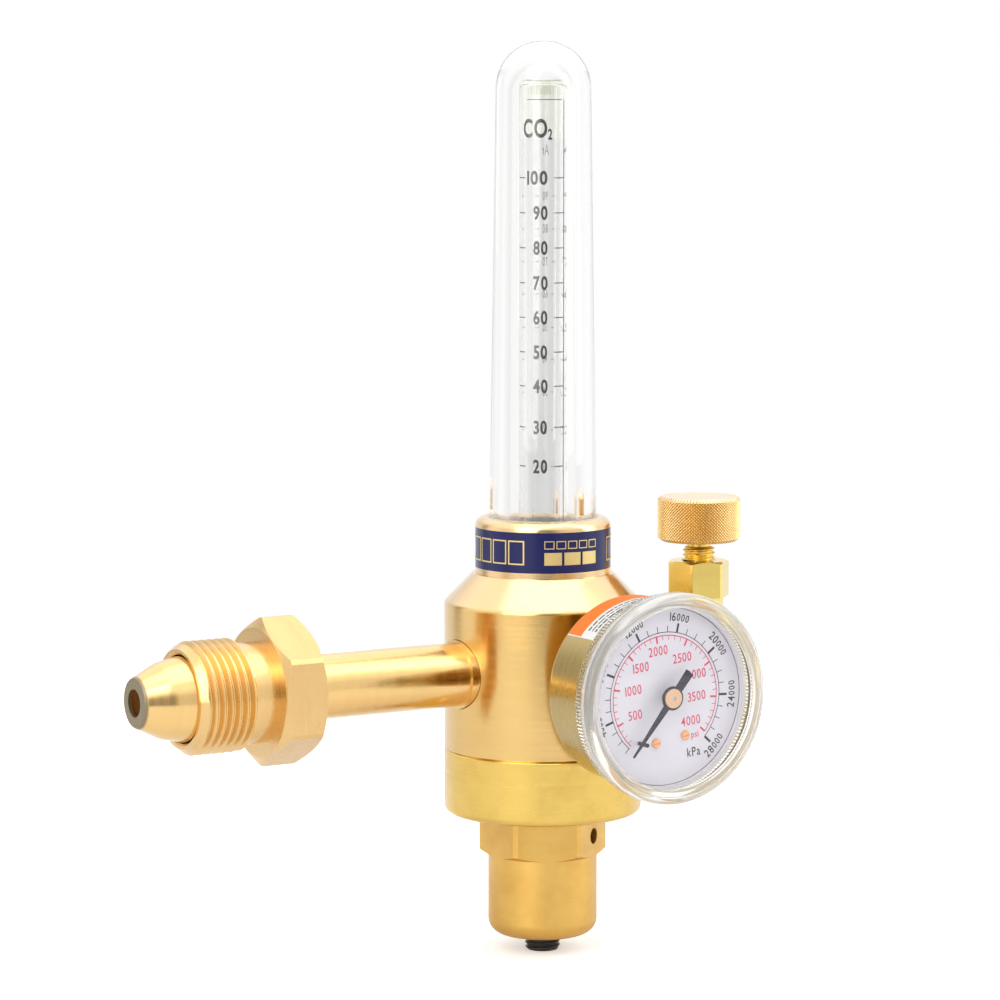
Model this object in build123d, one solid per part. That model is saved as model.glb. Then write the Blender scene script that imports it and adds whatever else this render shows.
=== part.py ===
# A flowmeter regulator for shielding gas, in millimetres: it screws into a gas cylinder's valve,
# drops the pressure and meters the flow through a clear upright tube.
# The origin is the middle of the inlet nut's thread. The inlet points along -X, the gauge faces -Y,
# the outlet valve stands on the +X side and the flow tube points up along +Z.
# Heights are measured from the inlet axis and reaches from the upright stack axis of the body.
from build123d import *
import math
import os

# Clearances
running_gap = 0.05
seat_gap = 0.05
loose_gap = 0.3

# Brass body
body_dia = 44.4
body_foot_height = -18.1
cone_foot_height = 15.1
cone_top_height = 21.6
cone_top_dia = 31.8
neck_dia = 30.5
neck_top_height = 34.2
neck_rounding = 2.1
edge_break = 0.3
band_height = 9.0
band_top_drop = 2.2
band_groove = 0.25
band_thickness = 0.2

# Clear flow tube in its clear outer tube
tube_foot_dia = 24.0
tube_top_dia = 20.9
tube_apex_height = 140.0
tube_bore_foot_dia = 15.2
tube_bore_top_dia = 14.2
tube_dome_wall = 4.4
tube_seat_depth = 8.7
tube_ring_section = 1.7
tube_ring_dia = 19.6
flow_tube_dia = 10.8
flow_tube_head_room = 5.1
flow_bore_foot_dia = 5.0
flow_bore_top_dia = 6.2
flow_seat_depth = 5.0
flow_ring_section = 1.6
flow_well_dia = 6.0
flow_well_depth = 2.5
ball_dia = 4.76
stop_height = 2.4
stop_hole_dia = 2.0

# Inlet nipple and nut
pipe_dia = 14.2
pipe_bore_dia = 4.0
pipe_thread_depth = 9.0
nose_proud = 10.4
nose_tip_dia = 10.6
nose_bore_dia = 6.0
nose_bore_depth = 9.0
nose_dia = 18.9
nose_length = 17.0
nose_flank_dia = 16.4
nose_flank_proud = 4.6
nose_edge_proud = -1.2
filter_length = 5.0
filter_depth = 3.0
nut_back_reach = 62.3
nut_hex_length = 10.1
nut_relief_length = 5.2
nut_relief_dia = 22.0
nut_thread_length = 11.4
nut_thread_dia = 24.5
nut_chamfer = 1.9
nut_flats = 28.575
nut_corners = 32.4
nut_corner_turn = 90

# Pressure regulator under the body
ring_height = 14.5
ring_rounding = 1.6
spigot_dia = 40.4
spigot_height = 3.9
chamber_dia = 30.0
chamber_height = 6.0
diaphragm_thickness = 0.8
plate_dia = 20.0
plate_thickness = 2.2
housing_floor = 4.8
bonnet_flats = 25.4
bonnet_corners = 28.6
bonnet_hex_height = 9.6
bonnet_turn = 33.4
cup_dia = 24.6
cup_foot_height = -60.65
cup_rounding = 3.5
cup_wall = 1.7
cup_floor = 5.0
bonnet_spigot_height = 5.8
bonnet_spigot_wall = 1.8
vent_dia = 3.6
vent_height = -37.6
screw_dia = 7.94
screw_proud = 3.9
screw_socket_flats = 3.97
screw_socket_depth = 4.5
spring_wire_dia = 2.2
spring_dia = 15.6
spring_turns = 5
button_thickness = 2.6
nozzle_hex_flats = 9.0
nozzle_hex_height = 2.0
nozzle_thread_dia = 7.6
nozzle_hole_dia = 2.6
nozzle_top_height = -9.0
poppet_dia = 6.6
poppet_length = 9.0
poppet_pin_dia = 1.4
poppet_travel = 0.5
poppet_spring_wire = 0.5
poppet_spring_dia = 4.2
poppet_spring_turns = 4
poppet_spring_height = 6.4
passage_dia = 3.0
drilling_dia = 2.2
rise_foot_offset = 12.0
rise_top_offset = 2.0

# Pressure gauge
gauge_dial_turn = 5.6
case_back_reach = 34.0
case_dia = 40.4
case_rounding = 2.0
case_wall = 1.0
dial_thickness = 0.6
dial_gap = 0.1
case_lip = 1.1
lens_overlap = 2.1
lens_rim_dia = 45.5
lens_skirt_dia = 44.2
lens_rim_depth = 3.4
lens_window_dia = 39.4
lens_window_thickness = 1.1
lens_window_recess = 0.5
lens_window_height = 3.8
rib_count = 120
rib_depth = 0.25
stem_thread_dia = 9.6
stem_thread_depth = 8.5
stem_flats = 11.1
stem_flats_start = 22.9
block_width = 8.0
block_depth = 4.6
block_reach = 17.0
block_head = 4.0
shelf_width = 4.5
tube_coil_gap = 3.0
tube_coil_width = 2.4
tube_coil_depth = 5.6
tube_coil_start = 255.0
tube_coil_end = 15.0
tube_coil_offset = 0.4
frame_thickness = 0.8
frame_space = 4.6
post_height = 3.1
plate_margin = 1.8
plate_rise = 12.0
plate_shoulder = 2.5
pillar_dia = 2.0
pinion_teeth = 12
gear_ratio = 8
gear_module = 0.2
gear_thickness = 0.8
tooth_slack = 0.12
arbor_dia = 1.0
sector_direction = -25.0
sector_sweep = 34.0
sector_margin = 8.0
tail_radius = 4.0
tail_direction = -20.0
link_length = 10.2
link_thickness = 0.5
scale_sweep = 270.0
pointer_length = 15.5
pointer_tail = 6.9
pointer_thickness = 0.3
pointer_root_width = 1.7
pointer_tip_width = 0.35
pointer_hub_dia = 5.2
pointer_bush_dia = 4.2
pointer_bush_height = 0.4
pointer_gap = 0.3
dial_screw_spread = 7.5
dial_screw_drop = 9.45
dial_screw_turn = 3.2
dial_screw_dia = 2.1
stop_pin_dia = 0.9
stop_pin_radius = 11.6
label_arc = 102.0
label_margin = 1.8
label_gap = 0.4
label_thickness = 0.12

# Outlet valve
valve_reach = 42.2
knob_dia = 19.1
knob_top_height = 36.5
knob_foot_height = 26.2
knob_chamfer = 0.8
knob_bore_depth = 8.0
stem_neck_dia = 5.5
stem_neck_height = 1.2
stem_dia = 7.6
shank_dia = 4.0
needle_tip_dia = 1.6
packing_hex_flats = 12.7
packing_hex_corners = 14.3
packing_hex_turn = -17.5
packing_hex_top_height = 21.7
packing_hex_foot_height = 13.4
packing_spigot_height = 4.0
packing_height = 2.4
valve_neck_dia = 11.4
valve_neck_foot_height = 9.6
valve_waist_dia = 16.0
valve_boss_dia = 20.0
valve_boss_top_height = -6.0
valve_foot_height = -20.2
outlet_dia = 14.45
outlet_depth = 12.5
orifice_dia = 2.6
orifice_top_height = -2.0
branch_dia = 12.2
branch_thread_depth = 8.0

# Places that follow from the sizes above
body_radius = body_dia / 2
thread_back_reach = nut_back_reach + nut_hex_length + nut_relief_length
thread_front_reach = thread_back_reach + nut_thread_length
nut_front_reach = thread_front_reach + nut_chamfer
nose_reach = nut_front_reach + nose_proud
stack_place = (thread_front_reach + thread_back_reach) / 2
ring_foot_height = body_foot_height - ring_height
spigot_foot_height = body_foot_height - spigot_height
diaphragm_foot_height = spigot_foot_height - diaphragm_thickness
plate_foot_height = diaphragm_foot_height - plate_thickness
bonnet_bore_dia = cup_dia - 2 * cup_wall
cup_floor_height = cup_foot_height + cup_floor
screw_foot_height = cup_foot_height - screw_proud
tube_seat_height = neck_top_height - tube_seat_depth
tube_foot_height = tube_seat_height + tube_ring_section
flow_seat_height = tube_seat_height - flow_seat_depth
flow_foot_height = flow_seat_height + flow_ring_section
flow_well_height = flow_seat_height - flow_well_depth
chamber_top_height = spigot_foot_height + chamber_height
flow_tube_top_height = tube_apex_height - tube_dome_wall - flow_tube_head_room
block_front_reach = case_back_reach + case_wall + block_depth
frame_front_reach = block_front_reach + frame_thickness + frame_space
tube_coil_radius = case_dia / 2 - case_wall - tube_coil_gap - tube_coil_width / 2
dial_back_reach = frame_front_reach + frame_thickness + post_height
dial_face_reach = dial_back_reach + dial_thickness
case_front_reach = dial_face_reach + case_lip
window_back_reach = dial_face_reach + lens_window_height
lens_front_reach = window_back_reach + lens_window_thickness + lens_window_recess
lens_back_reach = case_front_reach - lens_overlap
pointer_reach = window_back_reach - pointer_gap - pointer_bush_height
label_start_reach = case_back_reach + label_margin
label_width = lens_back_reach - label_gap - label_start_reach

# Local frames: Z runs out along the inlet, the gauge and the valve's branch
stack = Pos(stack_place, 0, 0)
inlet = Plane(origin=(stack_place, 0, 0), x_dir=(0, 1, 0), z_dir=(-1, 0, 0)).location
branch = Plane(origin=(stack_place, 0, 0), x_dir=(0, 1, 0), z_dir=(1, 0, 0)).location
gauge = Plane(origin=(stack_place, 0, 0), x_dir=(1, 0, 0), z_dir=(0, -1, 0)).location
dial_frame = gauge * Rot(0, 0, gauge_dial_turn)
valve = Pos(stack_place + valve_reach, 0, 0)


def outline(corners):
    # A closed face in the XZ plane; a corner is (radius, height) and may end with a rounding
    spots = [Vector(corner[0], 0, corner[1]) for corner in corners]
    edges = []
    leaving = []
    arriving = []
    arcs = []
    for index, corner in enumerate(corners):
        spot = spots[index]
        if len(corner) < 3:
            arriving.append(spot)
            leaving.append(spot)
            arcs.append(None)
            continue
        back = (spots[index - 1] - spot).normalized()
        ahead = (spots[(index + 1) % len(spots)] - spot).normalized()
        half_turn = math.radians(back.get_angle(ahead)) / 2
        run = corner[2] / math.tan(half_turn)
        inset = corner[2] / math.sin(half_turn) - corner[2]
        arriving.append(spot + back * run)
        leaving.append(spot + ahead * run)
        middle = spot + (back + ahead).normalized() * inset
        arcs.append(ThreePointArc(arriving[index], middle, leaving[index]))
    for index in range(len(corners)):
        if arcs[index] is not None:
            edges.append(arcs[index])
        edges.append(Line(leaving[index], arriving[(index + 1) % len(corners)]))
    return make_face(edges)


def turned(*corners):
    return revolve(outline(corners), Axis.Z)


def rod(diameter, low, high):
    return Pos(0, 0, low) * Cylinder(diameter / 2, high - low, align=(Align.CENTER, Align.CENTER, Align.MIN))


def tube(outer_dia, inner_dia, low, high):
    return rod(outer_dia, low, high) - rod(inner_dia, low, high)


def hexagon(flats, low, high, corner_angle=0):
    reach = flats / 2 / math.cos(math.pi / 6)
    angles = [math.radians(corner_angle + 60 * side) for side in range(6)]
    corners = [(reach * math.cos(angle), reach * math.sin(angle)) for angle in angles]
    return Pos(0, 0, low) * extrude(make_face(Polyline(*corners, close=True)), high - low)


def chamfered_hexagon(flats, corner_dia, low, high, corner_angle, low_cut=True, high_cut=True):
    # A nut's hexagon whose corners are turned down at 30 degrees from the flats' circle
    rise = (corner_dia - flats) / 2 * math.tan(math.pi / 6)
    low_radius = flats / 2 if low_cut else corner_dia / 2
    high_radius = flats / 2 if high_cut else corner_dia / 2
    low_rise = rise if low_cut else 0.01
    high_rise = rise if high_cut else 0.01
    trim = turned(
        (0, low), (low_radius, low), (corner_dia / 2, low + low_rise),
        (corner_dia / 2, high - high_rise), (high_radius, high), (0, high),
    )
    return hexagon(flats, low, high, corner_angle) & trim


def coil(diameter, wire_dia, low, high, turns):
    # A coil spring whose wire touches both seats
    start_height = low + wire_dia / 2
    pitch = (high - low - wire_dia) / turns
    path = Pos(0, 0, start_height) * Helix(pitch, high - low - wire_dia, diameter / 2)
    section = Plane(origin=path @ 0, z_dir=path % 0) * Circle(wire_dia / 2)
    return sweep(section, path=path, is_frenet=True)


def o_ring(diameter, section, low):
    ring = Pos(diameter / 2, 0, low + section / 2) * Rot(90, 0, 0) * Circle(section / 2)
    return revolve(ring, Axis.Z)


# The body: a turned brass bar with ports for inlet, gauge and valve, and the regulator's chamber below
def make_body():
    neck = neck_dia / 2
    groove = neck - band_groove
    band_top = neck_top_height - band_top_drop
    shell = turned(
        (0, spigot_foot_height), (spigot_dia / 2, spigot_foot_height),
        (spigot_dia / 2, body_foot_height), (body_radius - edge_break, body_foot_height),
        (body_radius, body_foot_height + edge_break), (body_radius, cone_foot_height, 1.2),
        (cone_top_dia / 2, cone_top_height), (neck, cone_top_height), (neck, band_top - band_height),
        (groove, band_top - band_height), (groove, band_top), (neck, band_top),
        (neck, neck_top_height, neck_rounding), (0, neck_top_height),
    )
    seat_dia = tube_foot_dia + 2 * seat_gap
    shell -= rod(seat_dia, tube_seat_height, neck_top_height)
    shell -= turned(
        (0, neck_top_height - 0.7), (seat_dia / 2, neck_top_height - 0.7),
        (seat_dia / 2 + 0.7, neck_top_height), (0, neck_top_height),
    )
    shell -= rod(flow_tube_dia + 2 * seat_gap, flow_seat_height, tube_seat_height)
    shell -= rod(flow_well_dia, flow_well_height, flow_seat_height)
    shell -= rod(chamber_dia, spigot_foot_height, chamber_top_height)
    shell -= rod(nozzle_thread_dia, chamber_top_height, nozzle_top_height)
    poppet_top = nozzle_top_height + poppet_length
    spring_top = poppet_top + poppet_spring_height
    shell -= rod(poppet_dia + 2 * loose_gap, nozzle_top_height, poppet_top)
    shell -= rod(poppet_spring_dia + poppet_spring_wire + 2 * loose_gap, poppet_top, spring_top)
    for place, dia, depth in (
        (inlet, pipe_dia, pipe_thread_depth),
        (gauge, stem_thread_dia, stem_thread_depth),
        (branch, branch_dia, branch_thread_depth),
    ):
        local = stack.inverse() * place
        port_foot = body_radius - depth
        shell -= local * rod(dia, port_foot, body_radius)
        flat = math.sqrt(body_radius ** 2 - (dia / 2 + 0.7) ** 2) - 0.2
        shell -= local * rod(dia + 1.4, flat, body_radius)
        if place is not branch:
            shell -= local * rod(passage_dia, 0, port_foot)
    # Two drillings: low pressure up to the flow tube, and metered gas down to the valve
    rise_foot = Vector(0, rise_foot_offset, chamber_top_height - 1)
    rise_top = Vector(0, rise_top_offset, flow_well_height + flow_well_depth / 2)
    rise = rise_top - rise_foot
    shell -= Plane(origin=rise_foot, z_dir=rise).location * rod(drilling_dia, 0, rise.length)
    drop_place = (tube_bore_foot_dia + flow_tube_dia) / 4 + 0.7
    shell -= Pos(drop_place, 0, 0) * rod(drilling_dia, 0, tube_seat_height)
    shell -= stack.inverse() * branch * rod(drilling_dia, drop_place, body_radius - branch_thread_depth)
    return shell


def make_label_band():
    inner = neck_dia - 2 * band_groove
    top = neck_top_height - band_top_drop
    return tube(inner + 2 * band_thickness, inner, top - band_height, top)


# The clear outer tube is moulded with a domed top; the flow tube and its float stand inside it
def make_outer_tube():
    top_radius = tube_top_dia / 2
    bore_top = tube_bore_top_dia / 2
    bore_apex = tube_apex_height - tube_dome_wall
    shell = turned(
        (0, tube_foot_height), (tube_foot_dia / 2, tube_foot_height), (tube_foot_dia / 2, neck_top_height),
        (top_radius, tube_apex_height, top_radius * 0.98), (0, tube_apex_height),
    )
    return shell - turned(
        (0, tube_foot_height), (tube_bore_foot_dia / 2, tube_foot_height),
        (bore_top, bore_apex, bore_top * 0.98), (0, bore_apex),
    )


def make_flow_tube():
    return turned(
        (flow_bore_foot_dia / 2, flow_foot_height), (flow_tube_dia / 2, flow_foot_height),
        (flow_tube_dia / 2, flow_tube_top_height, 0.5), (flow_bore_top_dia / 2, flow_tube_top_height),
    )


def make_float_stop():
    return tube(flow_bore_foot_dia, stop_hole_dia, flow_foot_height, flow_foot_height + stop_height)


def make_float_ball():
    # The ball rests on the rim of the hole in its stop
    hole = stop_hole_dia / 2
    rise = math.sqrt((ball_dia / 2) ** 2 - hole ** 2)
    return Pos(0, 0, flow_foot_height + stop_height + rise) * Sphere(ball_dia / 2)


def make_flow_tube_cap():
    # A slotted plug keeps the float in and lets the gas out
    low = flow_tube_top_height - stop_height
    plug = rod(flow_bore_top_dia - 0.2, low, flow_tube_top_height)
    cap = plug + rod(flow_tube_dia, flow_tube_top_height, flow_tube_top_height + 0.9)
    return cap - rod(stop_hole_dia * 1.5, low, flow_tube_top_height + 0.9)


# Inlet: a nipple whose bullet nose seals in the cylinder valve, and the nut that draws it in
def make_inlet_nipple():
    shoulder = nose_reach - nose_length
    pipe = pipe_dia / 2
    bulge = nose_dia / 2
    nipple = turned(
        (0, body_radius - pipe_thread_depth), (pipe, body_radius - pipe_thread_depth),
        (pipe, shoulder - (bulge - pipe)), (bulge, shoulder, 0.6),
        (bulge, nut_front_reach + nose_edge_proud, 2.0),
        (nose_flank_dia / 2, nut_front_reach + nose_flank_proud, 6.0),
        (nose_tip_dia / 2, nose_reach, 0.5), (0, nose_reach),
    )
    nipple += rod(pipe_dia + 1.2, body_radius - 1.4, body_radius + 0.5)
    nipple -= rod(pipe_bore_dia, body_radius - pipe_thread_depth, nose_reach)
    return nipple - rod(nose_bore_dia, nose_reach - nose_bore_depth, nose_reach)


def make_inlet_filter():
    front = nose_reach - filter_depth
    return rod(nose_bore_dia, front - filter_length, front)


def make_inlet_nut():
    # Hexagon, thread relief and thread in one piece, with a shoulder behind the nipple's nose
    hex_front = nut_back_reach + nut_hex_length
    thread = nut_thread_dia / 2
    nut = chamfered_hexagon(nut_flats, nut_corners, nut_back_reach, hex_front, nut_corner_turn)
    nut += turned(
        (0, hex_front), (nut_relief_dia / 2, hex_front), (nut_relief_dia / 2, thread_back_reach - 0.6),
        (thread, thread_back_reach), (thread, thread_front_reach),
        (thread - nut_chamfer * 0.8, nut_front_reach), (0, nut_front_reach),
    )
    bore = pipe_dia / 2 + running_gap * 2
    nose_bore = nose_dia / 2 + running_gap * 2
    shoulder = nose_reach - nose_length
    return nut - turned(
        (0, nut_back_reach), (bore, nut_back_reach), (bore, shoulder - (nose_bore - bore) - running_gap * 3),
        (nose_bore, shoulder - running_gap * 3), (nose_bore, nut_front_reach - 0.5),
        (nose_bore + 0.5, nut_front_reach), (0, nut_front_reach),
    )


# Regulator: the spring pushes up on the diaphragm, whose plate lifts the poppet off its nozzle
def make_diaphragm_housing():
    inner = spigot_dia / 2 + seat_gap
    cavity = chamber_dia / 2
    neck = bonnet_bore_dia / 2 + bonnet_spigot_wall - running_gap
    floor_height = ring_foot_height + housing_floor
    return turned(
        (inner, body_foot_height), (body_radius - edge_break, body_foot_height),
        (body_radius, body_foot_height - edge_break), (body_radius, ring_foot_height, ring_rounding),
        (neck, ring_foot_height), (neck, floor_height), (cavity, floor_height),
        (cavity, diaphragm_foot_height), (inner, diaphragm_foot_height),
    )


def make_spring_bonnet():
    hex_foot = ring_foot_height - bonnet_hex_height
    hexagonal = chamfered_hexagon(
        bonnet_flats, bonnet_corners, hex_foot, ring_foot_height, bonnet_turn - 90 + 30, high_cut=False
    )
    spigot = bonnet_bore_dia + 2 * (bonnet_spigot_wall - running_gap)
    bonnet = hexagonal + rod(spigot, ring_foot_height, ring_foot_height + bonnet_spigot_height)
    bonnet += turned(
        (0, cup_foot_height), (cup_dia / 2, cup_foot_height, cup_rounding), (cup_dia / 2, hex_foot), (0, hex_foot)
    )
    bonnet -= rod(bonnet_bore_dia, cup_floor_height, ring_foot_height + bonnet_spigot_height)
    bonnet -= rod(screw_dia + 2 * running_gap, cup_foot_height, cup_floor_height)
    vent = Pos(0, 0, vent_height) * Rot(0, 0, bonnet_turn - 90) * Rot(0, 90, 0)
    return bonnet - vent * rod(vent_dia, bonnet_bore_dia / 2 - 1, bonnet_corners / 2)


def button_foot_height():
    return cup_floor_height + 2.0


def make_adjusting_screw():
    top = button_foot_height()
    screw = turned(
        (0, screw_foot_height), (screw_dia / 2 - 0.6, screw_foot_height),
        (screw_dia / 2, screw_foot_height + 0.6), (screw_dia / 2, top - 1.2),
        (screw_dia / 2 - 1.2, top), (0, top),
    )
    return screw - hexagon(screw_socket_flats, screw_foot_height, screw_foot_height + screw_socket_depth)


def make_spring_button():
    foot = button_foot_height()
    rim = spring_dia / 2 + spring_wire_dia / 2
    return turned(
        (0, foot), (rim, foot), (rim, foot + button_thickness),
        (spring_dia / 2 - spring_wire_dia / 2 - 0.2, foot + button_thickness),
        (spring_dia / 2 - spring_wire_dia / 2 - 0.6, foot + button_thickness + 1.6, 0.4),
        (0, foot + button_thickness + 1.6),
    )


def make_main_spring():
    foot = button_foot_height() + button_thickness
    return coil(spring_dia, spring_wire_dia, foot, plate_foot_height, spring_turns)


def make_diaphragm():
    return rod(spigot_dia, diaphragm_foot_height, spigot_foot_height)


def make_diaphragm_plate():
    return rod(plate_dia, plate_foot_height, diaphragm_foot_height)


def make_seat_nozzle():
    nozzle = rod(nozzle_thread_dia, chamber_top_height, nozzle_top_height - 1.2)
    nozzle += turned(
        (0, nozzle_top_height - 1.2), (nozzle_thread_dia / 2, nozzle_top_height - 1.2),
        (nozzle_hole_dia / 2 + 0.3, nozzle_top_height), (0, nozzle_top_height),
    )
    foot = chamber_top_height - nozzle_hex_height
    nozzle += hexagon(nozzle_hex_flats, foot, chamber_top_height)
    return nozzle - rod(nozzle_hole_dia, foot, nozzle_top_height)


def make_poppet():
    seat = nozzle_top_height
    top = seat + poppet_length
    return turned(
        (0, spigot_foot_height), (poppet_pin_dia / 2, spigot_foot_height), (poppet_pin_dia / 2, seat),
        (poppet_dia / 2 - 0.6, seat), (poppet_dia / 2, seat + 0.6), (poppet_dia / 2, top - poppet_travel - 0.1),
        (poppet_spring_dia / 2 - poppet_spring_wire, top - poppet_travel - 0.1),
        (poppet_spring_dia / 2 - poppet_spring_wire - 0.1, top + 1.2), (0, top + 1.2),
    )


def make_poppet_spring():
    low = nozzle_top_height + poppet_length - poppet_travel - 0.1
    high = nozzle_top_height + poppet_length + poppet_spring_height
    return coil(poppet_spring_dia, poppet_spring_wire, low, high, poppet_spring_turns)


# Gauge: case, socket, pressure coil and the geared movement that turns the pointer
def dial_screw_places():
    turn = Rot(0, 0, dial_screw_turn)
    return [turn * Pos(side * dial_screw_spread / 2, -dial_screw_drop, 0) for side in (-1, 1)]


def make_gauge_case():
    outer = case_dia / 2
    inner = outer - case_wall
    back_inner = case_back_reach + case_wall
    shell = turned(
        (0, case_back_reach), (outer, case_back_reach, case_rounding), (outer, case_front_reach),
        (inner, case_front_reach), (inner, back_inner, case_rounding - case_wall), (0, back_inner),
    )
    return shell - rod(stem_thread_dia, case_back_reach, back_inner)


def make_gauge_socket():
    # Threaded stem, wrench flats and the block that holds the pressure coil and the movement
    foot = body_radius - stem_thread_depth
    back_inner = case_back_reach + case_wall
    socket = rod(stem_thread_dia, foot, back_inner)
    flats = chamfered_hexagon(stem_flats, stem_flats * 1.12, stem_flats_start, case_back_reach, 0)
    socket += flats
    block = Box(
        block_width, block_reach + block_head, block_depth, align=(Align.CENTER, Align.MAX, Align.MIN)
    )
    socket += Pos(0, block_head, back_inner) * block
    shelf_height = coil_section_reach() + tube_coil_depth / 2 - block_front_reach
    shelf = Box(block_width, shelf_width, shelf_height, align=(Align.CENTER, Align.MIN, Align.MIN))
    socket += Pos(0, -block_reach, block_front_reach) * shelf
    socket -= rod(passage_dia, foot, back_inner + 2)
    for place in dial_screw_places():
        socket -= place * rod(arbor_dia, block_front_reach - 2, block_front_reach)
    return socket - make_bourdon_tube()


def coil_section_reach():
    return block_front_reach + tube_coil_offset


def make_bourdon_tube():
    # A flattened tube bent three quarters round the dial, closed at its tip
    sweep_angle = tube_coil_start - tube_coil_end
    low = coil_section_reach() - tube_coil_depth / 2
    inner = tube_coil_radius - tube_coil_width / 2
    outer = tube_coil_radius + tube_coil_width / 2
    side = tube_coil_width * 0.45
    ring = turned(
        (inner, low, side), (outer, low, side),
        (outer, low + tube_coil_depth, side), (inner, low + tube_coil_depth, side),
    )
    start = math.radians(tube_coil_end)
    corners = [(0, 0)]
    for step in range(9):
        angle = start + math.radians(sweep_angle) * step / 8
        corners.append((30 * math.cos(angle), 30 * math.sin(angle)))
    keep = Pos(0, 0, low) * extrude(make_face(Polyline(*corners, close=True)), tube_coil_depth)
    return ring & keep


def movement_outline():
    # Round-cornered plate that covers the arbor, the sector's pivot and the dial's two posts
    pivot = sector_pivot()
    posts = dial_screw_spread / 2 + plate_margin
    foot = -dial_screw_drop - plate_margin
    corners = [
        (-posts, plate_shoulder), (-posts, foot), (posts, foot),
        (pivot[0] + plate_margin, pivot[1] - plate_margin),
        (pivot[0] + plate_margin, pivot[1] + plate_rise), (pivot[0] - plate_margin, pivot[1] + plate_rise),
    ]
    plate = make_face(Polyline(*corners, close=True))
    return fillet(plate.vertices(), 1.0)


def sector_pivot():
    distance = gear_module * pinion_teeth * (1 + gear_ratio) / 2
    angle = math.radians(sector_direction)
    return (distance * math.cos(angle), distance * math.sin(angle))


def pillar_places():
    pivot = sector_pivot()
    high = (pivot[0], pivot[1] + plate_rise - plate_margin)
    low = (-dial_screw_spread / 2, plate_shoulder - plate_margin)
    return (high, low)


def make_movement_frame():
    plate = movement_outline()
    low = block_front_reach
    front = frame_front_reach
    frame = Pos(0, 0, low) * extrude(plate, frame_thickness)
    frame += Pos(0, 0, front) * extrude(plate, frame_thickness)
    for across, along in pillar_places():
        frame += Pos(across, along, 0) * rod(pillar_dia, low, front + frame_thickness)
    for post in dial_screw_places():
        frame += post * rod(dial_screw_dia + 0.6, low, dial_back_reach)
        frame -= post * rod(arbor_dia, low, dial_back_reach)
    pivot = sector_pivot()
    for across, along in ((0, 0), pivot):
        hole = rod(arbor_dia + 2 * running_gap, low, front + frame_thickness)
        frame -= Pos(across, along, 0) * hole
    return frame


def gear_reach():
    return block_front_reach + frame_thickness + 1.6


def toothed(teeth, first, last, start_angle, tooth_width):
    # Teeth of the gear pair as one outline of straight flanks
    pitch_radius = gear_module * teeth / 2
    root = pitch_radius - 1.1 * gear_module
    tip = pitch_radius + 0.8 * gear_module
    points = []
    for tooth in range(first, last + 1):
        middle = start_angle + 2 * math.pi * tooth / teeth
        for radius, share in ((root, 1.35), (tip, 0.5)):
            points.append((radius, middle - share * tooth_width / 2 / pitch_radius))
        for radius, share in ((tip, 0.5), (root, 1.35)):
            points.append((radius, middle + share * tooth_width / 2 / pitch_radius))
    return [(radius * math.cos(angle), radius * math.sin(angle)) for radius, angle in points]


def tooth_width():
    return gear_module * math.pi / 2 - tooth_slack


def make_pinion_shaft():
    low = gear_reach() - 0.3
    toward_sector = math.radians(sector_direction)
    teeth = toothed(pinion_teeth, 0, pinion_teeth - 1, toward_sector + math.pi / pinion_teeth, tooth_width())
    pinion = Pos(0, 0, low) * extrude(make_face(Polyline(*teeth, close=True)), gear_thickness + 0.6)
    return pinion + rod(arbor_dia, block_front_reach + 0.1, pointer_reach + pointer_bush_height / 2)


def make_sector_gear():
    # The teeth span the pointer's sweep; the tail holds the link's pin
    low = gear_reach()
    sector_teeth = pinion_teeth * gear_ratio
    mesh_angle = math.radians(sector_direction + 180)
    pitch_angle = 2 * math.pi / sector_teeth
    first = -round(math.radians(sector_sweep + sector_margin) / pitch_angle)
    last = round(math.radians(sector_margin) / pitch_angle)
    teeth = toothed(sector_teeth, first, last, mesh_angle, tooth_width())
    web = make_face(Polyline(*(teeth + [(0, 0)]), close=True))
    tail = Rot(0, 0, tail_direction) * Pos(tail_radius / 2, 0) * SlotCenterToCenter(tail_radius, 1.8)
    sector = Pos(0, 0, low) * extrude(web + Circle(1.5) + tail, gear_thickness)
    sector += rod(arbor_dia, block_front_reach + 0.1, frame_front_reach + frame_thickness - 0.1)
    pin = Rot(0, 0, tail_direction) * Pos(tail_radius, 0, 0)
    sector += pin * rod(0.7, low, low + gear_thickness + link_thickness + 0.5)
    return Pos(*sector_pivot(), 0) * sector


def make_movement_link():
    # The link lies over the coil's tip, with its lower eye on the sector's tail pin
    low = gear_reach() + gear_thickness + 0.15
    bar = Pos(0, link_length / 2) * Rot(0, 0, 90) * SlotCenterToCenter(link_length, 1.8)
    link = Pos(0, 0, low) * extrude(bar, link_thickness) - rod(0.7 + 2 * running_gap, low, low + link_thickness)
    pivot = sector_pivot()
    angle = math.radians(tail_direction)
    eye = (pivot[0] + tail_radius * math.cos(angle), pivot[1] + tail_radius * math.sin(angle))
    return Pos(*eye, 0) * link


def make_gauge_dial():
    dial = rod(case_dia - 2 * (case_wall + dial_gap), dial_back_reach, dial_face_reach)
    dial -= rod(arbor_dia + 2 * loose_gap, dial_back_reach, dial_face_reach)
    for place in dial_screw_places():
        dial -= place * rod(arbor_dia, dial_back_reach, dial_face_reach)
    return dial


def make_dial_screws():
    screws = []
    for place in dial_screw_places():
        head = turned(
            (0, dial_face_reach), (dial_screw_dia / 2, dial_face_reach),
            (dial_screw_dia / 2, dial_face_reach + 0.5, 0.3), (0, dial_face_reach + 0.5),
        )
        shank = rod(arbor_dia, dial_back_reach - 1.5, dial_face_reach)
        slot = Pos(0, 0, dial_face_reach + 0.5) * Box(dial_screw_dia * 2, 0.35, 0.5)
        screws.append(place * (head + shank - slot))
    return Compound(screws)


def pointer_zero_angle():
    return 90 + scale_sweep / 2


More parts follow.
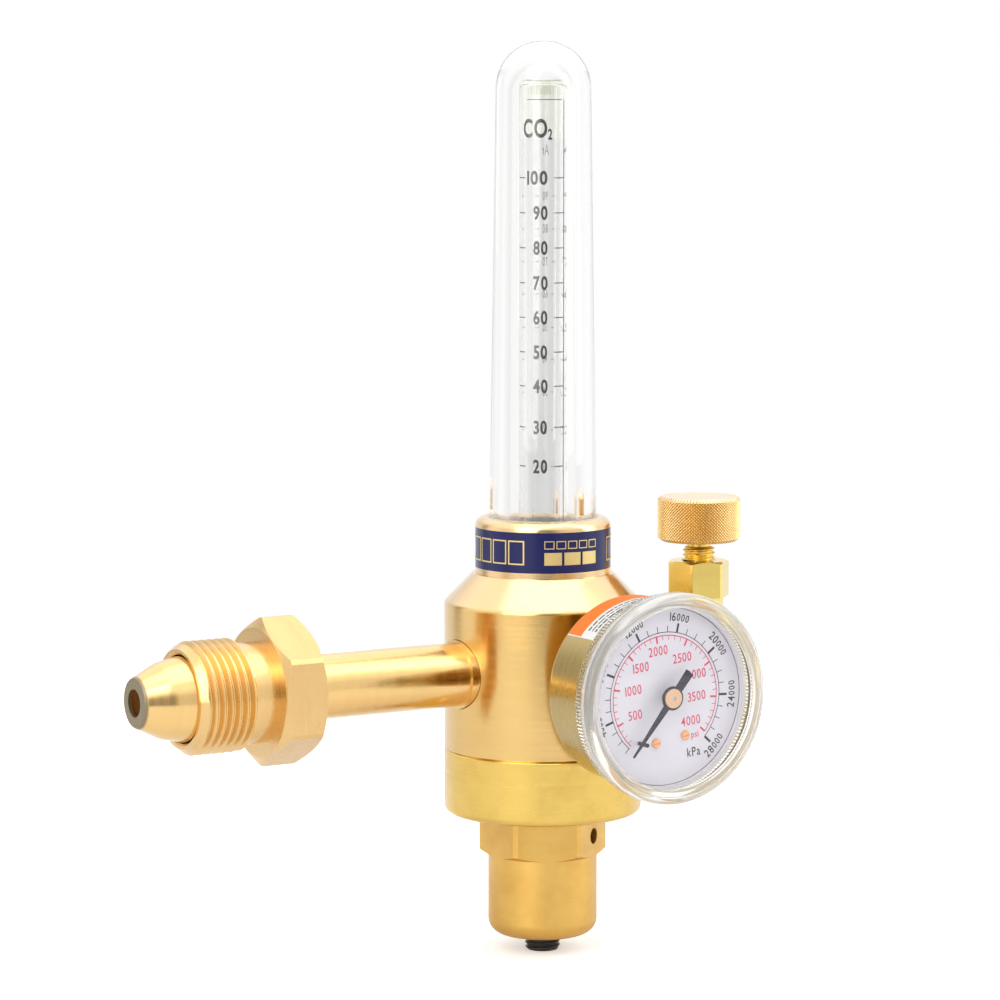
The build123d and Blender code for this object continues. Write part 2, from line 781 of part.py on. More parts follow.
def make_stop_pin():
    # The pin stands against the pointer's low side
    aside = stop_pin_dia / 2 + (pointer_root_width + pointer_tip_width) / 4 + running_gap
    angle = math.radians(pointer_zero_angle()) + math.asin(aside / stop_pin_radius)
    place = Pos(stop_pin_radius * math.cos(angle), stop_pin_radius * math.sin(angle), 0)
    return place * rod(stop_pin_dia, dial_face_reach, pointer_reach + 0.2)


def make_gauge_pointer():
    blade = Polyline(
        (-pointer_tail, -pointer_root_width * 0.62), (0, -pointer_root_width / 2),
        (pointer_length, -pointer_tip_width / 2), (pointer_length, pointer_tip_width / 2),
        (0, pointer_root_width / 2), (-pointer_tail, pointer_root_width * 0.62), close=True,
    )
    flat = make_face(blade) + Circle(pointer_hub_dia / 2)
    pointer = Rot(0, 0, pointer_zero_angle()) * Pos(0, 0, pointer_reach) * extrude(flat, -pointer_thickness)
    return pointer - rod(arbor_dia, pointer_reach - pointer_thickness, pointer_reach)


def make_pointer_bush():
    ring = turned(
        (arbor_dia / 2, pointer_reach), (pointer_bush_dia / 2, pointer_reach),
        (pointer_bush_dia / 2, pointer_reach + pointer_bush_height, 0.15),
        (arbor_dia / 2, pointer_reach + pointer_bush_height),
    )
    return ring


def make_gauge_lens():
    rim = lens_rim_dia / 2
    skirt = lens_skirt_dia / 2
    window = lens_window_dia / 2
    inner = case_dia / 2 + seat_gap
    rim_back = lens_front_reach - lens_rim_depth
    lens = turned(
        (inner, lens_back_reach), (skirt, lens_back_reach), (skirt, rim_back), (rim, rim_back + 0.4),
        (rim, lens_front_reach, 1.6), (window + 0.5, lens_front_reach),
        (window, lens_front_reach - lens_window_recess), (0, lens_front_reach - lens_window_recess),
        (0, window_back_reach), (window, window_back_reach), (window, case_front_reach + seat_gap),
        (inner, case_front_reach + seat_gap),
    )
    # Fine grip ribs round the skirt
    notch = rod(rib_depth * 2, lens_back_reach, rim_back - 0.2)
    notches = [
        Rot(0, 0, 360 * rib / rib_count) * Pos(skirt + rib_depth * 0.3, 0, 0) * notch
        for rib in range(rib_count)
    ]
    return lens - notches


def make_case_label():
    # A paper sticker over the top of the case
    inner = case_dia
    sheet = tube(inner + 2 * label_thickness, inner, label_start_reach, label_start_reach + label_width)
    half = math.radians(label_arc / 2)
    reach = case_dia
    corners = [(0, 0), (-reach * math.sin(half), reach * math.cos(half)),
               (-reach * math.sin(half), reach * 2), (reach * math.sin(half), reach * 2),
               (reach * math.sin(half), reach * math.cos(half))]
    keep = Pos(0, 0, label_start_reach) * extrude(make_face(Polyline(*corners, close=True)), label_width)
    return sheet & keep


# Outlet valve: an angle body with its branch to the regulator, closed by a needle on the knob's stem
def make_valve_body():
    waist = valve_waist_dia / 2
    boss = valve_boss_dia / 2
    neck = valve_neck_dia / 2
    shell = turned(
        (0, valve_foot_height), (boss - 0.8, valve_foot_height), (boss, valve_foot_height + 0.8),
        (boss, valve_boss_top_height, 0.5), (waist, valve_boss_top_height + (boss - waist)),
        (waist, valve_neck_foot_height - (waist - neck)), (neck, valve_neck_foot_height),
        (neck, packing_hex_foot_height), (0, packing_hex_foot_height),
    )
    side = Pos(-valve_reach, 0, 0) * (stack.inverse() * branch)
    arm = rod(branch_dia, body_radius - branch_thread_depth, valve_reach)
    arm += rod(branch_dia + 1.2, body_radius + 0.4, valve_reach)
    shell += side * arm
    spigot_foot = packing_hex_foot_height - packing_spigot_height
    shell -= rod(valve_neck_dia - 2.4, spigot_foot - packing_height, packing_hex_foot_height)
    shell -= rod(shank_dia + 2 * loose_gap, orifice_top_height, spigot_foot)
    outlet_floor = valve_foot_height + outlet_depth
    shell -= rod(orifice_dia, outlet_floor, orifice_top_height)
    shell -= rod(outlet_dia, valve_foot_height, outlet_floor)
    return shell - side * rod(passage_dia, body_radius - branch_thread_depth, valve_reach)


def make_packing_nut():
    spigot_foot = packing_hex_foot_height - packing_spigot_height
    nut = chamfered_hexagon(
        packing_hex_flats, packing_hex_corners, packing_hex_foot_height, packing_hex_top_height,
        packing_hex_turn, low_cut=False,
    )
    nut += rod(valve_neck_dia - 2.4, spigot_foot, packing_hex_foot_height)
    nut -= rod(stem_dia + 2 * running_gap, packing_hex_foot_height, packing_hex_top_height)
    return nut - rod(shank_dia + 2 * running_gap, spigot_foot, packing_hex_foot_height)


def make_valve_packing():
    top = packing_hex_foot_height - packing_spigot_height
    return tube(valve_neck_dia - 2.4, shank_dia + 2 * running_gap, top - packing_height, top)


def make_valve_stem():
    thread_foot = packing_hex_foot_height + 0.6
    neck_foot = knob_foot_height - stem_neck_height
    seat = orifice_dia / 2 - running_gap
    drop = 2.0
    return turned(
        (0, orifice_top_height - drop), (needle_tip_dia / 2, orifice_top_height - drop),
        (seat, orifice_top_height), (shank_dia / 2, orifice_top_height + 1.4),
        (shank_dia / 2, thread_foot), (stem_dia / 2, thread_foot), (stem_dia / 2, neck_foot),
        (stem_neck_dia / 2, neck_foot + 0.5), (stem_neck_dia / 2, knob_foot_height + knob_bore_depth),
        (0, knob_foot_height + knob_bore_depth),
    )


def make_valve_knob():
    knob = turned(
        (0, knob_foot_height), (knob_dia / 2 - knob_chamfer * 1.4, knob_foot_height),
        (knob_dia / 2, knob_foot_height + knob_chamfer), (knob_dia / 2, knob_top_height - knob_chamfer),
        (knob_dia / 2 - knob_chamfer, knob_top_height), (0, knob_top_height),
    )
    bore = stem_neck_dia + 2 * running_gap
    return knob - rod(bore, knob_foot_height, knob_foot_height + knob_bore_depth + running_gap)


nodes = {
    "body": stack * make_body(),
    "label_band": stack * make_label_band(),
    "outer_tube": stack * make_outer_tube(),
    "tube_o_ring": stack * o_ring(tube_ring_dia, tube_ring_section, tube_seat_height),
    "flow_tube": stack * make_flow_tube(),
    "flow_tube_cap": stack * make_flow_tube_cap(),
    "flow_tube_o_ring": stack * o_ring(
        flow_tube_dia - flow_ring_section, flow_ring_section, flow_seat_height
    ),
    "float_stop": stack * make_float_stop(),
    "float_ball": stack * make_float_ball(),
    "inlet_nipple": inlet * make_inlet_nipple(),
    "inlet_filter": inlet * make_inlet_filter(),
    "inlet_nut": inlet * make_inlet_nut(),
    "diaphragm_housing": stack * make_diaphragm_housing(),
    "spring_bonnet": stack * make_spring_bonnet(),
    "adjusting_screw": stack * make_adjusting_screw(),
    "spring_button": stack * make_spring_button(),
    "main_spring": stack * make_main_spring(),
    "diaphragm": stack * make_diaphragm(),
    "diaphragm_plate": stack * make_diaphragm_plate(),
    "seat_nozzle": stack * make_seat_nozzle(),
    "poppet": stack * make_poppet(),
    "poppet_spring": stack * make_poppet_spring(),
    "gauge_case": gauge * make_gauge_case(),
    "gauge_socket": dial_frame * make_gauge_socket(),
    "bourdon_tube": dial_frame * make_bourdon_tube(),
    "movement_frame": dial_frame * make_movement_frame(),
    "sector_gear": dial_frame * make_sector_gear(),
    "movement_link": dial_frame * make_movement_link(),
    "pinion_shaft": dial_frame * make_pinion_shaft(),
    "gauge_dial": dial_frame * make_gauge_dial(),
    "dial_screws": dial_frame * make_dial_screws(),
    "stop_pin": dial_frame * make_stop_pin(),
    "gauge_pointer": dial_frame * make_gauge_pointer(),
    "pointer_bush": dial_frame * make_pointer_bush(),
    "gauge_lens": gauge * make_gauge_lens(),
    "case_label": gauge * make_case_label(),
    "valve_body": valve * make_valve_body(),
    "packing_nut": valve * make_packing_nut(),
    "valve_packing": valve * make_valve_packing(),
    "valve_stem": valve * make_valve_stem(),
    "valve_knob": valve * make_valve_knob(),
}

os.makedirs("parts", exist_ok=True)
for name, solid in nodes.items():
    export_step(solid, f"parts/{name}.step")
print("inlet thread middle to stack axis", round(stack_place, 3))
print("sector pivot in the dial's frame", sector_pivot())
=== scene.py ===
from math import ceil, cos, degrees, pi, radians, sin, tan

import bmesh
import bpy
from mathutils import Matrix, Vector


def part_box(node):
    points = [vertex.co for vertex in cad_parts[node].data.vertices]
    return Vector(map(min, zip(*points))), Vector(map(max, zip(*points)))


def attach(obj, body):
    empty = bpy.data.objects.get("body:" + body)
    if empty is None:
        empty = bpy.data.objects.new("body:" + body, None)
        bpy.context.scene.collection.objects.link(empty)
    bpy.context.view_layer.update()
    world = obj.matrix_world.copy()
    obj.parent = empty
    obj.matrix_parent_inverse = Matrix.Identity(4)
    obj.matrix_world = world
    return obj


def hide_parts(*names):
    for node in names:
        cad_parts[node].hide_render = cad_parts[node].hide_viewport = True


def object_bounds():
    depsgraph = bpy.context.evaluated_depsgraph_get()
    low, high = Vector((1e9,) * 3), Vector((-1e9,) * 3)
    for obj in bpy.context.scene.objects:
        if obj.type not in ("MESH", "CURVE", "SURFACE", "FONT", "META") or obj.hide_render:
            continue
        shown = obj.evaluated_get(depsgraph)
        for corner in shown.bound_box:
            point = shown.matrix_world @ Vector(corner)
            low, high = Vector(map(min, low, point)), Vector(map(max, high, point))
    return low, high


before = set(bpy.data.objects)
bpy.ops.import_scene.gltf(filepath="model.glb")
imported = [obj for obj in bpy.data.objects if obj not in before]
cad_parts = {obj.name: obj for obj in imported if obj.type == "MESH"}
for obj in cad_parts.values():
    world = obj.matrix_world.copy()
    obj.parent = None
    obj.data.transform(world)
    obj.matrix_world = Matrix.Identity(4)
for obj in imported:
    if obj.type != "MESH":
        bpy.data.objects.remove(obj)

cadLow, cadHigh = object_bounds()


def middleOf(node):
    low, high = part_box(node)
    return (low + high) / 2 * 1000


def addObject(name, data):
    thing = bpy.data.objects.new(name, data)
    bpy.context.scene.collection.objects.link(thing)
    return thing


stackPlace = middleOf("outer_tube").x  # mm, the body's upright axis
valvePlace = middleOf("valve_knob").x
dialTurn = 5.6  # degrees that the dial is turned on its case
stackFrame = Matrix.Translation((stackPlace / 1000, 0, 0))
valveFrame = Matrix.Translation((valvePlace / 1000, 0, 0))
inletFrame = Matrix(((0, 0, -1, stackPlace / 1000), (1, 0, 0, 0), (0, -1, 0, 0), (0, 0, 0, 1)))
gaugeFrame = Matrix(((1, 0, 0, stackPlace / 1000), (0, 0, -1, 0), (0, 1, 0, 0), (0, 0, 0, 1)))

# camera, at the photograph's angle
view = {"target": (75.03, 4.95, 37.8), "distance": 814.5, "turn": 30.92, "down": 5.902, "lens": 130.7}


def makeCamera():
    turn = radians(view["turn"])
    down = radians(view["down"])
    target = Vector(view["target"]) / 1000
    back = Vector((-sin(turn) * cos(down), -cos(turn) * cos(down), sin(down)))
    data = bpy.data.cameras.new("camera")
    data.lens = view["lens"]
    data.sensor_width = 36
    data.clip_start = 0.01
    data.clip_end = 50
    camera = addObject("camera", data)
    camera.location = target + back * view["distance"] / 1000
    camera.rotation_euler = (-back).to_track_quat("-Z", "Y").to_euler()
    bpy.context.scene.camera = camera


makeCamera()
print("camera set")


# small helpers for shader nodes
def newMaterial(name):
    material = bpy.data.materials.new(name)
    material.use_nodes = True
    tree = material.node_tree
    return material, tree, tree.nodes["Principled BSDF"]


def feed(tree, value, socket):
    # an input gets a link or a plain value
    if isinstance(value, bpy.types.NodeSocket):
        tree.links.new(value, socket)
    else:
        socket.default_value = value


def feedInputs(tree, node, inputs):
    # in an input's name an underscore stands for a space
    for key, value in inputs.items():
        feed(tree, value, node.inputs[key.replace("_", " ")])
    return node


def addNode(tree, kind, **inputs):
    return feedInputs(tree, tree.nodes.new(kind), inputs)


def addMath(tree, operation, first, second=None):
    node = tree.nodes.new("ShaderNodeMath")
    node.operation = operation
    feed(tree, first, node.inputs[0])
    if second is not None:
        feed(tree, second, node.inputs[1])
    return node.outputs[0]


def multiply(tree, first, second):
    return addMath(tree, "MULTIPLY", first, second)


def newGroup(name, numbers, outputs):
    # a group takes a vector and some numbers, and gives numbers
    group = bpy.data.node_groups.new(name, "ShaderNodeTree")
    group.interface.new_socket("Vector", in_out="INPUT", socket_type="NodeSocketVector")
    for label, value in numbers.items():
        socket = group.interface.new_socket(label, in_out="INPUT", socket_type="NodeSocketFloat")
        socket.default_value = value
    for label in outputs:
        group.interface.new_socket(label, in_out="OUTPUT", socket_type="NodeSocketFloat")
    return group, group.nodes.new("NodeGroupInput"), group.nodes.new("NodeGroupOutput")


def useGroup(tree, group, **inputs):
    node = tree.nodes.new("ShaderNodeGroup")
    node.node_tree = group
    return feedInputs(tree, node, inputs)


def spread(tree, value, fromLow, fromHigh, toLow, toHigh):
    return addNode(tree, "ShaderNodeMapRange", Value=value, From_Min=fromLow, From_Max=fromHigh,
                   To_Min=toLow, To_Max=toHigh).outputs[0]


def mixColours(tree, share, first, second):
    node = tree.nodes.new("ShaderNodeMix")
    node.data_type = "RGBA"
    # inputs 6 and 7 and output 2 are the ones for colours
    for index, value in ((0, share), (6, first), (7, second)):
        feed(tree, value, node.inputs[index])
    return node.outputs[2]


def mixShaders(tree, share, first, second):
    node = tree.nodes.new("ShaderNodeMixShader")
    for socket, source in zip(node.inputs, (share, first, second)):
        tree.links.new(source, socket)
    return node.outputs[0]


def addNoise(tree, vector, scale, detail=3.0, rough=0.6):
    noise = addNode(tree, "ShaderNodeTexNoise", Vector=vector, Scale=scale, Detail=detail, Roughness=rough)
    return noise.outputs[0]


def axisDistance(tree, parts):
    # how far a point is from local Z
    squares = [multiply(tree, parts.outputs[side], parts.outputs[side]) for side in ("X", "Y")]
    return addMath(tree, "SQRT", addMath(tree, "ADD", *squares))


def addBump(tree, shader, height, strength, distance):
    bump = addNode(tree, "ShaderNodeBump", Height=height, Strength=strength, Distance=distance)
    tree.links.new(bump.outputs[0], shader.inputs["Normal"])


def placeVector(tree, place=0.0, turn=(0, 0, 0)):
    # object coordinates from an axis at X = place (mm), turned so that the axis is local Z
    coordinates = tree.nodes.new("ShaderNodeTexCoord")
    shift = tree.nodes.new("ShaderNodeVectorMath")
    shift.operation = "SUBTRACT"
    shift.inputs[1].default_value = (place / 1000, 0, 0)
    tree.links.new(coordinates.outputs["Object"], shift.inputs[0])
    return addNode(tree, "ShaderNodeMapping", Vector=shift.outputs[0], Rotation=turn).outputs[0]


def makeTurnedGroup():
    # fine rings that a lathe leaves: they run round the local Z axis
    group, source, result = newGroup("turnedRings", {"Scale": 900.0}, ["Rings", "Streaks"])
    vector = source.outputs["Vector"]
    parts = addNode(group, "ShaderNodeSeparateXYZ", Vector=vector)
    ringPlace = addNode(group, "ShaderNodeCombineXYZ", X=axisDistance(group, parts), Y=parts.outputs["Z"])
    rings = addNoise(group, ringPlace.outputs[0], source.outputs["Scale"], 3.0, 0.65)
    # broad streaks drift a little round the part
    drift = group.nodes.new("ShaderNodeVectorMath")
    drift.operation = "MULTIPLY"
    drift.inputs[1].default_value = (0.12, 0.12, 1.0)
    group.links.new(vector, drift.inputs[0])
    streaks = addNoise(group, drift.outputs[0], 420.0, 2.0, 0.5)
    feedInputs(group, result, {"Rings": rings, "Streaks": streaks})
    return group


def makeHandledGroup():
    # the marks of handling: soft smudges and fine scratches
    group, source, result = newGroup("handledSurface", {"Smudge Size": 90.0}, ["Smudges", "Scratches"])
    vector = source.outputs["Vector"]
    cloud = addNoise(group, vector, source.outputs["Smudge Size"], 4.0, 0.55)
    stretch = addNode(
        group, "ShaderNodeMapping", Vector=vector, Rotation=(0.5, 0.9, 0.3), Scale=(1.0, 30.0, 30.0))
    lines = addNoise(group, stretch.outputs[0], 60.0, 2.0, 0.5)
    smudges = spread(group, cloud, 0.42, 0.66, 0, 1)
    scratches = spread(group, lines, 0.68, 0.74, 0, 1)
    feedInputs(group, result, {"Smudges": smudges, "Scratches": scratches})
    return group


turnedGroup = makeTurnedGroup()
handledGroup = makeHandledGroup()
print("node groups made")

# metals, each turned round an axis: its place on X (mm), and the turn that brings it to local Z
axes = {"stack": (stackPlace, (0, 0, 0)), "valve": (valvePlace, (0, 0, 0)),
        "inlet": (0, (0, radians(90), 0)), "gauge": (stackPlace, (radians(90), 0, 0))}
brasses = {
    "bodyBrass": {"axis": "stack", "colour": (0.78, 0.51, 0.17, 1), "rough": 0.17},
    "inletBrass": {"axis": "inlet", "colour": (0.87, 0.57, 0.21, 1), "rough": 0.17},
    "nutBrass": {"axis": "inlet", "colour": (0.80, 0.52, 0.2, 1), "rough": 0.22, "lines": 0.03,
                 "rings": 260.0},
    "valveBrass": {"axis": "valve", "colour": (0.88, 0.66, 0.16, 1), "rough": 0.2, "lines": 0.03,
                   "rings": 260.0},
    "knobBrass": {"axis": "valve", "colour": (0.86, 0.63, 0.27, 1), "rough": 0.3, "lines": 0.02},
    "gaugeBrass": {"axis": "gauge", "colour": (0.46, 0.33, 0.09, 1), "rough": 0.24, "lines": 0.05},
    "ringBrass": {"axis": "stack", "colour": (0.80, 0.55, 0.13, 1), "rough": 0.2, "stain": 0.3,
                  "stainSize": 160.0, "lacquer": 0.3},
    "bonnetBrass": {"axis": "stack", "colour": (0.78, 0.49, 0.12, 1), "rough": 0.38, "stain": 0.55,
                    "stainSize": 110.0, "lacquer": 0.25},
}


def tinted(colour, *shares):
    return tuple(min(1, value * share) for value, share in zip(colour, shares)) + (1,)


def makeBrass(name, axis, colour, rough, stain=0.12, stainSize=90.0, rings=900.0, lines=0.12, lacquer=0.6):
    material, tree, shader = newMaterial(name)
    vector = placeVector(tree, *axes[axis])
    turned = useGroup(tree, turnedGroup, Vector=vector, Scale=rings)
    handled = useGroup(tree, handledGroup, Vector=vector, Smudge_Size=stainSize)
    smudges, scratches = handled.outputs["Smudges"], handled.outputs["Scratches"]
    feedInputs(tree, shader, {"Metallic": 1, "Coat Weight": lacquer, "Coat Roughness": 0.15, "Coat IOR": 1.7})
    brown = tinted(colour, 0.82, 0.72, 0.6)
    pale = tinted(colour, 1.1, 1.14, 1.5)
    stained = mixColours(tree, multiply(tree, smudges, stain), colour, brown)
    streaked = mixColours(tree, spread(tree, turned.outputs["Streaks"], 0.35, 0.65, 0, 0.12), stained, brown)
    scratched = mixColours(tree, multiply(tree, scratches, 0.4), streaked, pale)
    tree.links.new(scratched, shader.inputs["Base Color"])
    ringRough = spread(tree, turned.outputs["Rings"], 0.3, 0.7, rough - 0.05, rough + 0.06)
    tree.links.new(addMath(tree, "ADD", ringRough, multiply(tree, smudges, 0.08)), shader.inputs["Roughness"])
    addBump(tree, shader, addMath(tree, "SUBTRACT", turned.outputs["Rings"], scratches), lines, 0.00003)
    return material


materials = {name: makeBrass(name, **look) for name, look in brasses.items()}


def findZone(tree, vector, side, edge, soft):
    # 1 beyond an edge in mm and 0 before it; side is "X", "Y", "Z" or "R", the distance from local Z.
    # A negative softness turns the zone round.
    parts = addNode(tree, "ShaderNodeSeparateXYZ", Vector=vector)
    reach = axisDistance(tree, parts) if side == "R" else parts.outputs[side]
    return spread(tree, reach, (edge - soft) / 1000, (edge + soft) / 1000, 0, 1)


def addZone(name, zones, colour, rough=0.0, metal=1.0):
    # a second colour, roughness and metalness where all the zones meet; it carries painted highlights and
    # painted shade as well as the case's paint
    tree = materials[name].node_tree
    shader = tree.nodes["Principled BSDF"]
    place, turn = axes[brasses[name]["axis"]]
    share = 1.0
    for side, edge, soft in zones:
        # only a zone round the axis needs the turn
        vector = placeVector(tree, place, turn if side == "R" else (0, 0, 0))
        share = multiply(tree, findZone(tree, vector, side, edge, soft), share)
    first = shader.inputs["Base Color"].links[0].from_socket
    tree.links.new(mixColours(tree, share, first, colour), shader.inputs["Base Color"])
    before = shader.inputs["Roughness"].links[0].from_socket
    tree.links.new(addMath(tree, "ADD", before, multiply(tree, share, rough)), shader.inputs["Roughness"])
    if metal < 1:
        tree.links.new(spread(tree, share, 0, 1, 1, metal), shader.inputs["Metallic"])


# painted highlight: the cone and neck are paler; painted shade: the nose's end is darker, and it is also
# rougher
addZone("bodyBrass", [("Z", 15.3, 0.4)], (0.80, 0.545, 0.27, 1))
addZone("inletBrass", [("X", -17.3, -0.25)], (0.26, 0.2, 0.11, 1), 0.35)
# painted shade: the knurl's grooves are darker brown; painted highlight: the knob's top is paler
addZone("knobBrass", [("R", 9.3, -0.17)], (0.62, 0.36, 0.1, 1), 0.15)
addZone("knobBrass", [("Z", 36.0, 0.2)], (0.8, 0.58, 0.38, 1))
# the case's front edge is painted as the dial is
addZone("gaugeBrass", [("Y", -49.6, -0.05), ("R", 20.12, -0.03)], (0.7, 0.67, 0.72, 1), 0.25, 0.0)

# paints, inks, papers, steels and rubber
plains = {
    "bandPaint": {"colour": (0.01, 0.012, 0.1, 1), "rough": 0.2, "shine": 0.35},
    "goldPrint": {"colour": (0.78, 0.6, 0.24, 1), "rough": 0.35, "metal": 0.5},
    "dialPaint": {"colour": (0.72, 0.69, 0.76, 1), "rough": 0.5, "variation": 0.02},
    "blackInk": {"colour": (0.02, 0.018, 0.025, 1), "shine": 0.3},
    "redInk": {"colour": (0.72, 0.07, 0.14, 1), "shine": 0.3},
    "tubeInk": {"colour": (0.03, 0.03, 0.032, 1), "shine": 0.3},
    "paleInk": {"colour": (0.35, 0.35, 0.35, 1)},
    "pointerPaint": {"colour": (0.018, 0.014, 0.036, 1), "rough": 0.4, "grainStrength": 0.01, "shine": 0.3},
    "hubCopper": {"colour": (0.75, 0.48, 0.3, 1), "rough": 0.35, "metal": 0.5},
    "screwCopper": {"colour": (0.85, 0.42, 0.2, 1), "rough": 0.3, "metal": 0.7},
    "orangePaper": {"colour": (0.86, 0.2, 0.015, 1)},
    "whitePaper": {"colour": (0.82, 0.81, 0.78, 1)},
    "blackSteel": {"colour": (0.09, 0.09, 0.09, 1), "rough": 0.35, "metal": 0.8},
    "springSteel": {"colour": (0.5, 0.5, 0.52, 1), "rough": 0.3, "metal": 1.0},
    "ballSteel": {"colour": (0.6, 0.6, 0.62, 1), "rough": 0.08, "metal": 1.0},
    "sealRubber": {"colour": (0.02, 0.02, 0.02, 1), "rough": 0.55},
    "stopPlastic": {"colour": (0.8, 0.8, 0.78, 1), "rough": 0.4},
    "filterBronze": {"colour": (0.13, 0.07, 0.035, 1), "rough": 0.8, "metal": 0.3, "grain": 2500.0,
                     "grainStrength": 0.8},
}


def makePlain(name, colour, rough=0.6, metal=0.0, grain=400.0, grainStrength=0.06, variation=0.06, shine=0.5):
    material, tree, shader = newMaterial(name)
    feedInputs(tree, shader, {"Metallic": metal, "Specular IOR Level": shine})
    vector = placeVector(tree)
    noise = addNoise(tree, vector, grain, 4.0)
    handled = useGroup(tree, handledGroup, Vector=vector)
    dark = tinted(colour, *[1 - variation] * 3)
    mottled = mixColours(tree, spread(tree, noise, 0.3, 0.7, 0, 1), dark, colour)
    tree.links.new(mottled, shader.inputs["Base Color"])
    grained = spread(tree, noise, 0.3, 0.7, rough * 0.9, min(1, rough * 1.1))
    smudged = multiply(tree, handled.outputs["Smudges"], 0.06)
    tree.links.new(addMath(tree, "ADD", grained, smudged), shader.inputs["Roughness"])
    addBump(tree, shader, noise, grainStrength, 0.00005)
    return material


for name, look in plains.items():
    materials[name] = makePlain(name, **look)

# clear plastics, which let the lamps through and so cast a light shadow
clears = {
    "outerClear": {"colour": (0.985, 0.985, 0.98, 1)},
    "innerClear": {"colour": (0.87, 0.872, 0.865, 1)},
    "windowClear": {"colour": (0.99, 0.99, 0.985, 1), "index": 1.4},
    "rimClear": {"colour": (0.84, 0.83, 0.8, 1), "rough": 0.1, "index": 1.45, "through": 0.7},
    "skirtClear": {"colour": (0.88, 0.86, 0.8, 1), "rough": 0.03, "index": 1.38},
    # a dark band of painted shade on the window's inner wall
    "rimPaintedShade": {"colour": (0.1, 0.085, 0.06, 1), "rough": 0.3, "through": 0.2},
    "tintClear": {"colour": (0.95, 0.962, 0.885, 1), "rough": 0.03},
    "capClear": {"colour": (0.95, 0.96, 0.88, 1), "rough": 0.1, "index": 1.06},
    "footClear": {"colour": (0.93, 0.93, 0.92, 1), "rough": 0.4, "through": 0.5},
}


def makeClear(name, colour, rough=0.0, index=1.49, through=1.0):
    material, tree, shader = newMaterial(name)
    feedInputs(tree, shader, {"Base Color": colour, "IOR": index, "Transmission Weight": through})
    vector = placeVector(tree)
    handled = useGroup(tree, handledGroup, Vector=vector, Smudge_Size=140.0)
    smears = multiply(tree, handled.outputs["Smudges"], 0.02)
    tree.links.new(addMath(tree, "ADD", smears, rough), shader.inputs["Roughness"])
    addBump(tree, shader, addNoise(tree, vector, 60.0, 2.0), 0.03, 0.0002)
    path = tree.nodes.new("ShaderNodeLightPath")
    clear = addNode(tree, "ShaderNodeBsdfTransparent", Color=(0.9, 0.9, 0.9, 1))
    shown = mixShaders(tree, path.outputs["Is Shadow Ray"], shader.outputs[0], clear.outputs[0])
    tree.links.new(shown, tree.nodes["Material Output"].inputs["Surface"])
    return material


for name, look in clears.items():
    materials[name] = makeClear(name, **look)
print("materials made")

finishes = {
    "bodyBrass": ["body", "diaphragm_plate", "seat_nozzle", "poppet"], "bandPaint": ["label_band"],
    "outerClear": ["outer_tube"], "innerClear": ["flow_tube"], "capClear": ["flow_tube_cap"],
    "sealRubber": ["tube_o_ring", "flow_tube_o_ring", "diaphragm"],
    "stopPlastic": ["float_stop", "valve_packing"], "ballSteel": ["float_ball"], "inletBrass": ["inlet_nipple"],
    "filterBronze": ["inlet_filter"], "nutBrass": ["inlet_nut"], "ringBrass": ["diaphragm_housing"],
    "bonnetBrass": ["spring_bonnet", "spring_button"], "blackSteel": ["adjusting_screw"],
    "springSteel": ["main_spring", "poppet_spring", "pinion_shaft"],
    "gaugeBrass": ["gauge_case", "gauge_socket", "bourdon_tube", "movement_frame", "sector_gear",
                   "movement_link"],
    "dialPaint": ["gauge_dial"], "screwCopper": ["dial_screws"], "pointerPaint": ["stop_pin", "gauge_pointer"],
    "hubCopper": ["pointer_bush"], "windowClear": ["gauge_lens"], "whitePaper": ["case_label"],
    "valveBrass": ["valve_body", "packing_nut", "valve_stem"], "knobBrass": ["valve_knob"],
}
for finish, dressed in finishes.items():
    for node in dressed:
        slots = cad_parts[node].data.materials
        slots.clear()
        slots.append(materials[finish])
print("frame dressed")


# pieces made of rings of points, in millimetres
def addPiece(name, shapes, place, finishes, sharp=35.0, marks=None, body="regulator"):
    points, faces = [], []
    for shapePoints, shapeFaces in shapes:
        start = len(points)
        points += [place @ Vector((x / 1000, y / 1000, z / 1000)) for x, y, z in shapePoints]
        faces += [tuple(start + index for index in face) for face in shapeFaces]
    mesh = bpy.data.meshes.new(name)
    mesh.from_pydata(points, [], faces)
    for finish in finishes:
        mesh.materials.append(materials[finish])
    if marks:
        mesh.polygons.foreach_set("material_index", marks)
    build = bmesh.new()
    build.from_mesh(mesh)
    bmesh.ops.remove_doubles(build, verts=build.verts, dist=1e-7)
    bmesh.ops.recalc_face_normals(build, faces=build.faces)
    build.to_mesh(mesh)
    build.free()
    mesh.shade_smooth()
    mesh.set_sharp_from_angle(angle=radians(sharp))
    piece = addObject(name, mesh)
    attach(piece, body)
    return piece


def roundCorners(corners):
    # (radius, height) or (radius, height, rounding) for each corner of a profile
    profile = []
    for index, corner in enumerate(corners):
        here = Vector(corner[:2])
        rounding = corner[2] if len(corner) > 2 else 0
        if not rounding:
            profile.append(tuple(here))
            continue
        before = (Vector(corners[index - 1][:2]) - here).normalized()
        after = (Vector(corners[index + 1][:2]) - here).normalized()
        half = before.angle(after) / 2
        centre = here + (before + after).normalized() * rounding / sin(half)
        start = here + before * rounding / tan(half) - centre
        end = here + after * rounding / tan(half) - centre
        steps = max(2, round(degrees(start.angle(end)) / 7))
        for step in range(steps + 1):
            arc = start.slerp(end, step / steps).normalized() * rounding
            profile.append(tuple(centre + arc))
    return profile


def ringPoint(radius, height, side, count):
    turn = 2 * pi * side / count
    return radius * cos(turn), radius * sin(turn), height


def ringPoints(radius, height, count):
    return [ringPoint(radius, height, side, count) for side in range(count)]


def ringFaces(starts, count):
    # faces between rings of points; starts holds the index of each ring's first point
    faces = []
    for low, high in zip(starts, starts[1:]):
        for side in range(count):
            after = (side + 1) % count
            faces.append((low + side, low + after, high + after, high + side))
    return faces


